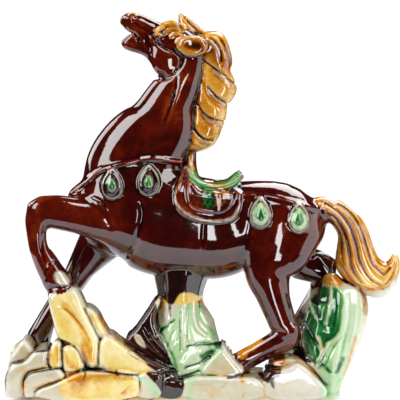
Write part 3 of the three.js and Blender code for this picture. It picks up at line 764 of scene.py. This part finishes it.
def surface_of(field, name):
    """A mesh object over the field's zero level."""
    grid = vdb.FloatGrid()
    grid.transform = GRID
    grid.background = REACH
    values = np.clip(field, -REACH, REACH).astype(np.float32)
    grid.copyFromArray(values, ijk=tuple(int(i) for i in FIRST), tolerance=0)
    points, quads = grid.convertToQuads(isovalue=0)
    data = bpy.data.meshes.new(name)
    data.vertices.add(len(points))
    data.vertices.foreach_set("co", (points * MM).astype(np.float32).ravel())
    data.loops.add(quads.size)
    data.loops.foreach_set("vertex_index", quads.astype(np.int32).ravel())
    data.polygons.add(len(quads))
    data.polygons.foreach_set("loop_start", np.arange(0, quads.size, 4, dtype=np.int32))
    data.update(calc_edges=True)
    data.validate()
    made = bpy.data.objects.new(name, data)
    bpy.context.scene.collection.objects.link(made)
    return made, points


def thin_out(made, points):
    """Brings the mesh to its number of faces. The far side and the underside give up more of theirs."""
    most, least = 1.0, 0.25
    share = np.where((points[:, 1] > 6) | (points[:, 2] < 1), most, least)
    group = made.vertex_groups.new(name="fewer")
    for value in (most, least):
        group.add([int(i) for i in np.flatnonzero(share == value)], value, "REPLACE")
    triangles = 2 * len(made.data.polygons)
    if triangles > FACES:
        decimate = made.modifiers.new("thin_out", "DECIMATE")
        decimate.ratio = FACES / triangles
        decimate.vertex_group = group.name
        decimate.vertex_group_factor = 1.0
        bpy.context.view_layer.objects.active = made
        made.select_set(True)
        bpy.ops.object.modifier_apply(modifier=decimate.name)
    made.vertex_groups.clear()


statue, dense_points = surface_of(whole, "glazed_horse")
thin_out(statue, dense_points)
mesh = statue.data
places = np.empty(len(mesh.vertices) * 3, np.float32)
mesh.vertices.foreach_get("co", places)
places = places.reshape(-1, 3) / MM

# Shading follows the smooth field and not the faces
soft = blurred(whole, 0.8, 1)
normals = np.stack([
    sample(soft, places + step) - sample(soft, places - step) for step in VOXEL * np.eye(3)], 1)
normals /= np.maximum(np.linalg.norm(normals, axis=1), 1e-9)[:, None]
mesh.shade_smooth()
mesh.normals_split_custom_set_from_vertices(normals.tolist())

# The form that makes each place of the surface, and how far the place lies in a hollow
owner = np.stack([sample(field, places) for field in forms]).argmin(0)
hollow = sample(blurred(whole, 3.0), places) - sample(whole, places)

# Runs of glaze over each form, among them some painted highlights and painted shade: how far inside a run's
# edge each place lies, in millimetres

GLAZES = ("cream", "honey", "amber", "green", "deep", "dark")  # each shows over the ones before it
HEM = 4.0  # how far from a run's edge its map still counts
COVERED = 4  # a whole number, so that the map of a form's first glaze keeps whole millimetres
DIPPED = {"horse": None, "hair": "amber", "tack": None, "stand": "cream"}  # what a form is covered in first
runs = {
    form: {glaze: Relief(COVERED if glaze == first else -HEM).value for glaze in GLAZES}
    for form, first in DIPPED.items()}


def lay(form, glaze, where, inside):
    """Lays a glaze where it is inside its edge, and takes off there those that would show over it."""
    inside = np.clip(inside, -HEM, HEM)
    maps = runs[form]
    maps[glaze][where] = np.maximum(maps[glaze][where], inside)
    for over in GLAZES[GLAZES.index(glaze) + 1:]:
        maps[over][where] = np.minimum(maps[over][where], -inside)


def lay_line(form, glaze, width, pixels, y):
    curve = flat_curve(seen(y, pixels))
    where, x, z = window(curve, width / 2 + HEM)
    lay(form, glaze, where, width / 2 - distances(curve, x, z))


def lay_area(form, glaze, outline):
    curve = closed(outline)
    where, x, z = window(curve, HEM)
    lay(form, glaze, where, depths(curve, x, z))


def lay_dot(form, glaze, radius, centre):
    where, x, z = window(np.array([centre]), HEM)
    lay(form, glaze, where, radius - np.hypot(x - centre[0], z - centre[1]))


CREASES = HORSE_LINES[:4]  # of the neck, the throat, the cheek and the mouth
FETLOCK_CREASES = HORSE_LINES[15:17]
RUNS = {  # form, then glaze: (width in millimetres, plane, line on the picture)
    "hair": {
        # Painted highlights: the pale lines on the mane and on the tail. The line under the near ear's top
        # is partly its cream rim and partly a painted highlight.
        "cream": [
            (2.0, -12, [(213, 71), (222, 78), (233, 86)]), (1.6, -12, [(212, 43), (217, 51), (219, 60)]),
            (1.6, -12, [(226, 48), (229, 55), (230, 62)]), (1.8, -12, [(210, 92), (216, 99), (225, 106)]),
            (2.0, -12, [(203, 114), (209, 121), (219, 125)]), (1.6, -12, [(199, 64), (200, 78), (197, 96)]),
            (1.6, -12, [(194, 131), (200, 140), (208, 144)]),
            (1.5, -14, [(179, 45), (184, 39), (193, 36.5), (203, 38), (208, 44)]),
            (1.5, -14, [(181, 52), (190, 56), (203, 53)]), (1.6, -8, [(178, 16), (177, 25), (180, 30)]),
            (1.5, -8, [(184, 13), (191, 21), (199, 28)]),
            (1.6, -10, [(324, 200), (340, 206), (355, 221), (364, 242)]),
            (1.4, -10, [(334, 220), (343, 236), (346, 252)])],
        "dark": [
            (0.8, -12, line) for line, *_ in
            MANE_GROOVES[:6] + MANE_GROOVES[-1:] + TAIL_GROOVES[:3] + HEAD_HAIR_LINES],
    },
    "horse": {
        "amber": [(1.6, -8, [(128, 14.5), (132, 12.8), (136, 15)]), (2.6, -10, [(160, 26), (157, 29)])],
        # The pale mark on the eye is a painted highlight.
        "cream": [(1.4, -10, [(158, 30), (161, 34)])],
        "dark": [
            (0.9, y, line) for y, carved in ((-12, CREASES), (-22, FETLOCK_CREASES))
            for line, *_ in carved],
    },
    "tack": {
        "amber": [
            (1.6, -30, [(191, 155), (191, 164), (193, 172)]),
            (2.0, -30, [(209, 185.5), (217, 186.5), (226, 185)])],
        "cream": [
            (1.0, -30, [(204, 220), (220, 221), (234, 216.5), (240, 205)]),
            # The blanket's thin cream rim; along its left side this line is also a painted highlight.
            (1.0, -30, [(174, 184), (174, 197), (178, 206), (188, 214), (204, 220)]),
            (0.8, -30, [(240, 174), (241, 184)])],
        # Pale green lines along the seat's lip: painted highlights.
        "green": [(1.6, -26, [(190, 170), (196, 179), (206, 184)]), (1.6, -26, [(228, 184), (236, 178)])],
        "dark": [
            (0.8, -30, [(187, 184), (187, 196), (192, 204), (204, 208), (220, 209.5), (229, 205),
             (231, 194)])],
    },
    "stand": {
        "amber": [
            (4.0, -36, [(63, 305), (76, 320), (86, 340), (92, 360)]), (3.0, -36, [(82, 345), (88, 360)]),
            (3.0, -30, [(98, 318), (105, 332)]), (2.2, -38, [(25, 378), (24, 396)]),
            (1.6, -38, [(34, 388), (46, 384), (60, 379)]), (2.0, -40, [(64, 352), (70, 366), (80, 370)]),
            (2.2, -38, [(49, 350), (49, 364)]), (2.2, -16, [(364, 296), (366, 303), (363, 312)]),
            (1.6, -40, [(206, 384), (214, 388), (226, 384)]),
            (2.2, -40, [(240, 376), (244, 386), (243, 396)]),
            (1.8, -36, [(296, 362), (306, 366), (314, 376)]),
            # The first run on the next line, down the hind pillar's right side, is painted shade of that
            # side face.
            (2.8, -20, [(356, 338), (351, 356), (345, 376)]), (2.0, -38, [(57, 346), (58, 362)]),
            (5.0, -40, [(70, 379), (84, 377)]), (6.0, -40, [(112, 376), (117, 386)]),
            (3.0, -40, [(66, 390), (96, 391), (125, 392)]),
            (2.4, -40, [(66, 377), (84, 375), (112, 376), (136, 379)]),
            (1.6, -36, [(108, 337), (124, 348), (146, 364)])],
        "cream": [
            # The next two pale lines, on the hind pillar's ridges, are painted highlights.
            (2.0, -26, [(311, 303), (313, 312), (317, 320)]),
            (2.2, -26, [(332, 291), (331, 308), (326, 324)]),
            (2.0, -26, [(338, 337), (326, 350), (317, 366)]), (3.0, -24, [(318, 338), (322, 350)]),
            (2.4, -26, [(184, 310), (183, 330), (183, 348)]),
            (2.4, -26, [(194, 308), (195, 320), (204, 336)])],
        "green": [
            (5.0, -40, [(189, 379), (189, 397)]), (6.0, -40, [(140, 379), (150, 384), (157, 393)]),
            (2.4, -32, [(200, 362), (208, 374), (216, 380)])],
        "deep": [
            (1.6, -28, [(156, 338), (163, 331), (174, 322)]),
            (1.8, -28, [(187, 347), (200, 345), (222, 348)]), (4.4, -28, [(203, 357), (211, 352)]),
            (2.4, -28, [(320, 362), (330, 372)]), (3.0, -26, [(337, 372), (343, 360)])],
        "dark": [
            (1.5, -38, [(58, 341), (66, 343), (76, 349), (82, 360), (86, 369)]),
            (1.5, -38, [(99, 341), (98, 352), (98, 366)]),
            (2.0, -38, [(82, 370), (100, 370.5), (120, 373), (138, 375)]),
            (1.2, -30, [(84, 308), (90, 320), (99, 338)]),
            (1.5, -34, [(10, 364), (24, 361), (32, 353), (47, 350)]),
            (1.0, -34, [(11, 365), (6, 376), (6, 390)]), (1.5, -38, [(48, 349), (48, 366), (52, 369)]),
            (1.6, -38, [(24, 380), (30, 374), (46, 370), (61, 368)]),
            (1.6, -40, [(61, 346), (62, 360), (63, 372)]), (1.2, -40, [(34, 392), (44, 386), (60, 380)]),
            (1.8, -40, [(85, 372), (85, 387)]), (2.6, -40, [(116, 372), (117, 385)]),
            (1.0, -40, [(66, 389), (90, 390.5), (122, 392)]),
            (1.4, -34, [(126, 346), (144, 359), (160, 369)]), (1.4, -38, [(61, 347), (61.5, 360)]),
            (1.2, -22, [(169, 302), (170, 317)]), (2.0, -38, [(260, 378), (269, 382), (276, 389)]),
            (2.0, -30, [(157, 300), (148, 312), (140, 324), (126, 342), (150, 361)]),
            (3.0, -20, [(162, 298), (171, 299)]), (1.6, -20, [(169, 300), (170, 309)]),
            (1.6, -28, [(185, 368), (197, 364), (210, 357)]),
            (2.0, -32, [(180, 378), (190, 375), (199, 371)]),
            (1.6, -34, [(290, 358), (300, 359), (311, 369), (326, 386)]),
            # A painted shadow under the near hind hoof.
            (2.2, -30, [(228, 376), (252, 372), (275, 373)]),
            (1.6, -20, [(300, 322), (312, 333), (318, 344)])],
    },
}
POOLS = {  # areas of each form: (glaze, plane, outline on the picture)
    "hair": [
        ("cream", -8, [(352, 286), (366, 291), (386, 288), (396, 276), (394, 290), (380, 300),
         (360, 297)])],
    "horse": [
        ("cream", -22, [(55, 272), (62, 272), (70, 281), (66, 285), (57, 282)]),
        ("amber", -24, [(237, 354), (246, 344), (260, 338), (263, 342), (250, 352), (240, 360)]),
        ("amber", -24, [(225, 357), (230, 355), (235, 362), (235, 372), (228, 370)])],
    "tack": [
        ("deep", -24, [(190, 168), (197, 174), (206, 180), (208, 188), (196, 185), (189, 176)]),
        ("deep", -24, [(214, 183), (226, 181), (238, 170), (242, 172), (240, 183), (226, 189), (212, 188)]),
        ("amber", -28, [(214, 191), (227, 190), (229, 198), (225, 204), (216, 206)]),
        ("deep", -28, [(203, 188), (213, 188), (215, 200), (213, 208), (205, 207), (203, 198)])],
    "stand": [
        ("honey", -34, [(52, 298), (74, 294), (90, 320), (99, 345), (96, 368), (86, 360), (78, 350),
         (60, 340), (52, 318)]),
        ("honey", -34, [(100, 342), (108, 338), (125, 348), (148, 364), (150, 373), (120, 371),
         (102, 366)]),
        ("honey", -38, [(63, 350), (76, 349), (83, 362), (82, 370), (68, 370)]),
        ("honey", -40, [(63, 376), (85, 373), (120, 375), (138, 378), (138, 397), (62, 397)]),
        ("honey", -38, [(50, 350), (56, 343), (60, 348), (60, 366), (51, 366)]),
        ("honey", -30, [(88, 311), (95, 316), (103, 330), (99, 336), (92, 322)]),
        ("honey", -20, [(158, 294), (166, 295), (166, 304), (158, 305)]),
        ("honey", -20, [(174, 296), (184, 292), (200, 296), (206, 306), (186, 306), (174, 304)]),
        ("amber", -18, [(320, 276), (334, 273), (344, 279), (342, 290), (330, 294), (316, 292)]),
        ("dark", -10, [(150, 262), (180, 264), (214, 262), (212, 294), (200, 296), (190, 292), (180, 293),
         (172, 304), (160, 297), (150, 300)]),
        ("dark", -16, [(152, 298), (158, 312), (160, 330), (172, 350), (180, 366), (172, 373), (148, 362),
         (124, 343), (142, 320)]),
        ("dark", -38, [(158, 372), (178, 375), (184, 380), (180, 397), (160, 397), (152, 380), (146, 373)]),
        ("amber", -34, [(260, 358), (283, 352), (286, 364), (276, 374), (262, 372)]),
        ("dark", -36, [(268, 368), (281, 369), (277, 378), (262, 378)]),
        ("cream", -26, [(134, 336), (139, 336), (146, 349), (137, 344)]),
        ("dark", -18, [(296, 318), (306, 310), (312, 330), (318, 352), (312, 362), (296, 356), (290, 340)]),
        ("green", -22, [(160, 330), (170, 322), (178, 308), (200, 306), (206, 322), (219, 340), (222, 352),
         (206, 366), (192, 380), (176, 370), (166, 348)]),
        ("green", -22, [(316, 290), (345, 290), (362, 302), (362, 330), (352, 360), (342, 396), (322, 396),
         (318, 366), (306, 340), (304, 318), (310, 300)]),
        ("deep", -24, [(318, 291), (332, 289), (342, 292), (342, 320), (336, 338), (326, 344), (326, 352),
         (320, 368), (306, 354), (304, 330), (310, 310)])],
}
for form, areas in POOLS.items():
    for glaze, y, pixels in areas:
        lay_area(form, glaze, seen(y, pixels))
for form, glazes in RUNS.items():
    for glaze, lines in glazes.items():
        for width, y, pixels in lines:
            lay_line(form, glaze, width, pixels, y)
DROP_RINGS = [(8.2, "cream"), (7.3, "dark")]  # by half width
FRONT_CORE = [(3.2, "deep")]
BACK_CORE = [(6.0, "green"), (3.6, "deep")]
DROP_WIDE, DROP_TALL, DROP_LOWER = 8.3, 8.5, 0.6  # what the rings are scaled by, and how far down they lie
for x, z in DROPS:
    for size, glaze in DROP_RINGS + (FRONT_CORE if x < 0 else BACK_CORE):
        lay_area("tack", glaze, [
            (x + u * size / DROP_WIDE, z - DROP_LOWER + v * size / DROP_TALL) for u, v in DROP])

DOT_ROWS, DOTS, DOT_GAP = 4, 7, 5.6  # the saddle pad's rows of dots, dots in a row and pixels between them
DOT_FIRST, DOT_SLANT, DOT_RADIUS = (191, 190), 0.18, 1.25
for row in range(DOT_ROWS):
    for i in range(DOTS):
        along = DOT_GAP * (i + 0.5 * (row % 2))
        below = 0.8 * DOT_GAP * row + DOT_SLANT * along
        lay_dot("tack", "dark", DOT_RADIUS, seen(-30, [(DOT_FIRST[0] + along, DOT_FIRST[1] + below)])[0])

# Where the glaze runs thin, or thick where negative, and along the neck's rear a painted highlight: form,
# width in millimetres, amount, plane and line
THIN = [
    ("horse", 14, 0.16, -20, [(40, 206), (62, 208), (84, 214), (100, 222)]),
    ("horse", 8, 0.12, -14, [(150, 130), (164, 100), (172, 84)]),
    ("horse", 16, -0.14, -28, [(150, 215), (190, 225), (232, 228)]),
    # Lighter along the neck's rear band: a painted highlight.
    ("horse", 10, 0.14, -14, [(184, 70), (182, 95), (176, 120)]),
    ("horse", 9, 0.12, -22, [(32, 225), (36, 250), (44, 268)]),
    ("horse", 8, 0.14, -10, [(166, 58), (168, 70)]),
    ("horse", 12, 0.1, -26, [(262, 222), (300, 232)]),
    ("horse", 7, 0.14, -12, [(138, 24), (134, 40)]),
    ("hair", 6, 0.25, -12, [(206, 70), (214, 84), (228, 96)]),
    ("hair", 6, 0.2, -12, [(212, 110), (220, 116)]),
    ("hair", 6, -0.25, -12, [(228, 60), (214, 52)]),
    ("hair", 7, 0.4, -10, [(366, 280), (386, 284)]),
    ("hair", 8, -0.2, -10, [(334, 222), (350, 250)]),
    ("hair", 4.5, -0.34, -16, [(186, 45.5), (198, 46.5)]),
    ("tack", 9, 0.32, -30, [(180, 182), (182, 198), (192, 206)]),
    ("tack", 6, 0.26, -24, [(192, 176), (206, 184), (226, 186), (238, 174)]),
    ("tack", 7, -0.34, -28, [(218, 197), (224, 198)]),
    ("stand", 10, 0.3, -36, [(66, 300), (84, 330)]),
    ("stand", 14, 0.3, -34, [(106, 346), (140, 370)]),
    ("stand", 8, -0.3, -34, [(264, 366), (280, 360)]),
    ("stand", 10, 0.3, -24, [(350, 300), (352, 330)]),
    ("stand", 16, 0.15, -24, [(180, 320), (196, 356)]),
    ("stand", 12, 0.25, -40, [(280, 376), (310, 386)])]
thin = {form: Relief().value for form in DIPPED}
for form, width, amount, y, pixels in THIN:
    curve = flat_curve(seen(y, pixels))
    where, x, z = window(curve, 2 * width)
    thin[form][where] += amount * np.exp(-((distances(curve, x, z) / width) ** 2))


def by_owner(maps):
    """The value at each place of the map that belongs to its form, in the order of DIPPED."""
    return np.stack([sample(values, places) for values in maps])[owner, np.arange(len(places))]


fields = {glaze: by_owner([runs[form][glaze] for form in DIPPED]) for glaze in GLAZES}
fields["thin"] = by_owner(thin.values())
fields["hollow"] = hollow
for name, values in fields.items():
    mesh.attributes.new(name, "FLOAT", "POINT").data.foreach_set("value", values.astype(np.float32))


def tone(*screen):
    """A colour given as red, green and blue on a screen, up to 255."""
    shares = [c / 255 for c in screen]
    return (*[c / 12.92 if c < 0.04045 else ((c + 0.055) / 1.055) ** 2.4 for c in shares], 1.0)


# Each glaze's colours, from thin to thick, and how quickly it begins at its edge
COLOURS = {
    "horse": [
        (0.08, tone(140, 54, 10)), (0.3, tone(92, 18, 2)), (0.55, tone(58, 4, 1)), (0.85, tone(16, 1, 1))],
    "honey": [
        (0.08, tone(246, 232, 178)), (0.38, tone(234, 206, 112)), (0.6, tone(222, 164, 50)),
        (0.78, tone(150, 80, 14)), (0.95, tone(40, 16, 6))],
    "amber": [
        (0.08, tone(240, 196, 104)), (0.32, tone(216, 148, 38)), (0.55, tone(184, 104, 8)),
        (0.74, tone(128, 58, 4)), (0.92, tone(52, 18, 4))],
    "cream": [
        (0.08, tone(220, 216, 206)), (0.5, tone(200, 190, 156)), (0.68, tone(206, 170, 92)),
        (0.8, tone(128, 66, 18)), (0.93, tone(34, 14, 6))],
    "green": [
        (0.08, tone(206, 220, 188)), (0.45, tone(178, 206, 156)), (0.62, tone(122, 186, 116)),
        (0.78, tone(48, 120, 50)), (0.95, tone(12, 44, 20))],
    "deep": [
        (0.1, tone(84, 160, 76)), (0.4, tone(24, 104, 44)), (0.7, tone(8, 60, 26)), (0.95, tone(4, 26, 12))],
    "dark": [(0.1, tone(64, 24, 12)), (0.5, tone(26, 9, 6)), (0.9, tone(10, 4, 4))],
}
EDGES = {"amber": 0.5, "honey": 0.35, "cream": 0.45, "green": 0.4, "deep": 0.6, "dark": 0.9}


class Nodes:
    """Short ways to add nodes to a material."""

    def __init__(self, name):
        self.material = bpy.data.materials.new(name)
        self.material.use_nodes = True
        self.tree = self.material.node_tree
        self.tree.nodes.clear()

    def add(self, kind, **settings):
        node = self.tree.nodes.new(kind)
        for key, value in settings.items():
            setattr(node, key, value)
        return node

    def link(self, a, b):
        self.tree.links.new(a, b)

    def attribute(self, name):
        return self.add("ShaderNodeAttribute", attribute_name=name).outputs["Fac"]

    def math(self, operation, *values, clamp=False):
        node = self.add("ShaderNodeMath", operation=operation, use_clamp=clamp)
        for socket, value in zip(node.inputs, values):
            if isinstance(value, (int, float)):
                socket.default_value = value
            else:
                self.link(value, socket)
        return node.outputs[0]

    def noise(self, where, scale, detail, distortion):
        node = self.add("ShaderNodeTexNoise")
        node.inputs["Scale"].default_value = scale
        node.inputs["Detail"].default_value = detail
        node.inputs["Distortion"].default_value = distortion
        self.link(where, node.inputs["Vector"])
        return node.outputs["Fac"]

    def ramp(self, value, stops):
        node = self.add("ShaderNodeValToRGB")
        elements = node.color_ramp.elements
        while len(elements) < len(stops):
            elements.new(0.5)
        for element, (place, colour) in zip(elements, stops):
            element.position = place
            element.color = colour
        self.link(value, node.inputs["Fac"])
        return node.outputs["Color"]

    def mix(self, share, a, b):
        node = self.add("ShaderNodeMix", data_type="RGBA")
        self.link(share, node.inputs["Factor"])
        for colour, socket in zip((a, b), (s for s in node.inputs if s.type == "RGBA")):
            self.link(colour, socket)
        return next(s for s in node.outputs if s.type == "RGBA")

    def centred(self, value, amount):
        """A value from 0 to 1, moved to lie round 0 and scaled."""
        return self.math("MULTIPLY", self.math("SUBTRACT", value, 0.5), amount)

    def finish(self, shader):
        self.link(shader.outputs[0], self.add("ShaderNodeOutputMaterial").inputs["Surface"])
        return self.material


def glaze_material():
    """Brown all over, with the other glazes over it where they run, each darker where it lies thick. Some of
    the runs are painted highlights and painted shade.
    """
    n = Nodes("glazed_ceramic")
    where = n.add("ShaderNodeTexCoord").outputs["Object"]
    wobble = n.centred(n.noise(where, 190, 2, 0.8), 3.2)
    little_wobble = n.math("MULTIPLY", wobble, 0.3)
    thick = n.math("MULTIPLY_ADD", n.attribute("hollow"), -0.5, 0.5)
    thick = n.math("SUBTRACT", thick, n.attribute("thin"))
    thick = n.math("ADD", thick, n.centred(n.noise(where, 70, 3, 0.6), 0.65))
    thick = n.math("ADD", thick, n.centred(n.noise(where, 260, 3, 0.4), 0.25), clamp=True)
    colour = n.ramp(thick, COLOURS["horse"])
    for glaze in GLAZES:
        edge = n.math("ADD", n.attribute(glaze), little_wobble if glaze == "dark" else wobble)
        share = n.math("MULTIPLY_ADD", edge, EDGES[glaze], 0.5, clamp=True)
        colour = n.mix(share, colour, n.ramp(thick, COLOURS[glaze]))
    shader = n.add("ShaderNodeBsdfPrincipled")
    n.link(colour, shader.inputs["Base Color"])
    shader.inputs["Roughness"].default_value = 0.06
    shader.inputs["IOR"].default_value = 1.85
    bump = n.add("ShaderNodeBump")
    bump.inputs["Strength"].default_value = 0.25
    bump.inputs["Distance"].default_value = 0.0004
    n.link(n.noise(where, 110, 2, 0.0), bump.inputs["Height"])
    n.link(bump.outputs["Normal"], shader.inputs["Normal"])
    return n.finish(shader)


mesh.materials.append(glaze_material())
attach(statue, "root")
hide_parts("horse_statue")

# The studio: a white table top, soft boxes round it and white behind

TABLE_LEFT, TABLE_RIGHT, TABLE_FRONT, TABLE_BACK = -0.42, 0.42, -0.17, 0.5  # in metres
TABLE_COLOUR, TABLE_GLOW = (0.86, 0.88, 0.93, 1), 0.2
ROOM_COLOUR, ROOM_LIGHT = (0.9, 0.9, 1.0, 1), 0.02  # what lights the glaze and the table from all round
WHITE_BEHIND = 1.05  # what the camera sees past them
BOX_DISTANCE = 1.2  # the soft boxes' distance, in metres


def white_table():
    n = Nodes("white_table")
    shader = n.add("ShaderNodeBsdfPrincipled")
    shader.inputs["Base Color"].default_value = TABLE_COLOUR
    shader.inputs["Roughness"].default_value = 0.8
    shader.inputs["Emission Color"].default_value = TABLE_COLOUR
    shader.inputs["Emission Strength"].default_value = TABLE_GLOW
    return n.finish(shader)


def table_top():
    corners = [
        (TABLE_LEFT, TABLE_FRONT, 0), (TABLE_RIGHT, TABLE_FRONT, 0), (TABLE_RIGHT, TABLE_BACK, 0),
        (TABLE_LEFT, TABLE_BACK, 0)]
    data = bpy.data.meshes.new("table_top")
    data.from_pydata(corners, [], [(0, 1, 2, 3)])
    data.materials.append(white_table())
    top = bpy.data.objects.new("table_top", data)
    bpy.context.scene.collection.objects.link(top)


def soft_box(name, azimuths, elevations, radiance, distance=BOX_DISTANCE):
    """A soft box that fills those angles round the statue. 0 is the camera's side, 90 the right."""
    a, e = math.radians(sum(azimuths) / 2), math.radians(sum(elevations) / 2)
    away = Vector((math.sin(a) * math.cos(e), -math.cos(a) * math.cos(e), math.sin(e)))
    data = bpy.data.lights.new(name, "AREA")
    data.shape = "RECTANGLE"
    data.size = 2 * distance * math.tan(math.radians(azimuths[1] - azimuths[0]) / 2) * math.cos(e)
    data.size_y = 2 * distance * math.tan(math.radians(elevations[1] - elevations[0]) / 2)
    data.energy = radiance * math.pi * data.size * data.size_y
    box = bpy.data.objects.new(name, data)
    box.location = Vector(TARGET) * MM + away * distance
    box.rotation_euler = away.to_track_quat("Z", "Y").to_euler()
    box.visible_camera = False
    bpy.context.scene.collection.objects.link(box)


def world():
    scene = bpy.context.scene
    scene.world = bpy.data.worlds.new("studio")
    scene.world.use_nodes = True
    tree = scene.world.node_tree
    tree.nodes.clear()
    room = tree.nodes.new("ShaderNodeBackground")
    room.inputs["Color"].default_value = ROOM_COLOUR
    room.inputs["Strength"].default_value = ROOM_LIGHT
    white = tree.nodes.new("ShaderNodeBackground")
    white.inputs["Color"].default_value = (1, 1, 1, 1)
    white.inputs["Strength"].default_value = WHITE_BEHIND
    path = tree.nodes.new("ShaderNodeLightPath")
    choose = tree.nodes.new("ShaderNodeMixShader")
    out = tree.nodes.new("ShaderNodeOutputWorld")
    tree.links.new(path.outputs["Is Camera Ray"], choose.inputs[0])
    tree.links.new(room.outputs[0], choose.inputs[1])
    tree.links.new(white.outputs[0], choose.inputs[2])
    tree.links.new(choose.outputs[0], out.inputs["Surface"])


def camera():
    data = bpy.data.cameras.new("camera")
    data.sensor_width = 36
    data.lens = data.sensor_width / 2 * DISTANCE / HALF_VIEW
    data.clip_end = 50
    eye = bpy.data.objects.new("camera", data)
    eye.location = Vector((TARGET + BACK * DISTANCE) * MM)
    eye.rotation_euler = (math.pi / 2 - ELEVATION, 0, 0)
    bpy.context.scene.collection.objects.link(eye)
    bpy.context.scene.camera = eye


table_top()
world()
camera()
# Each soft box: its azimuths and elevations in degrees, and its radiance
soft_box("left", (-74, -42), (8, 58), 5.6)
soft_box("left_back", (-135, -106), (10, 44), 4.2)
soft_box("right_back", (122, 178), (32, 66), 5.4)
soft_box("right", (42, 68), (12, 60), 5.0)
soft_box("overhead", (-4, 30), (58, 76), 6.5)
soft_box("low_front", (4, 12), (-22, 8), 8.0, distance=0.9)
soft_box("right_wall", (52, 118), (-22, 22), 1.5)
bpy.context.scene.view_settings.view_transform = "Standard"
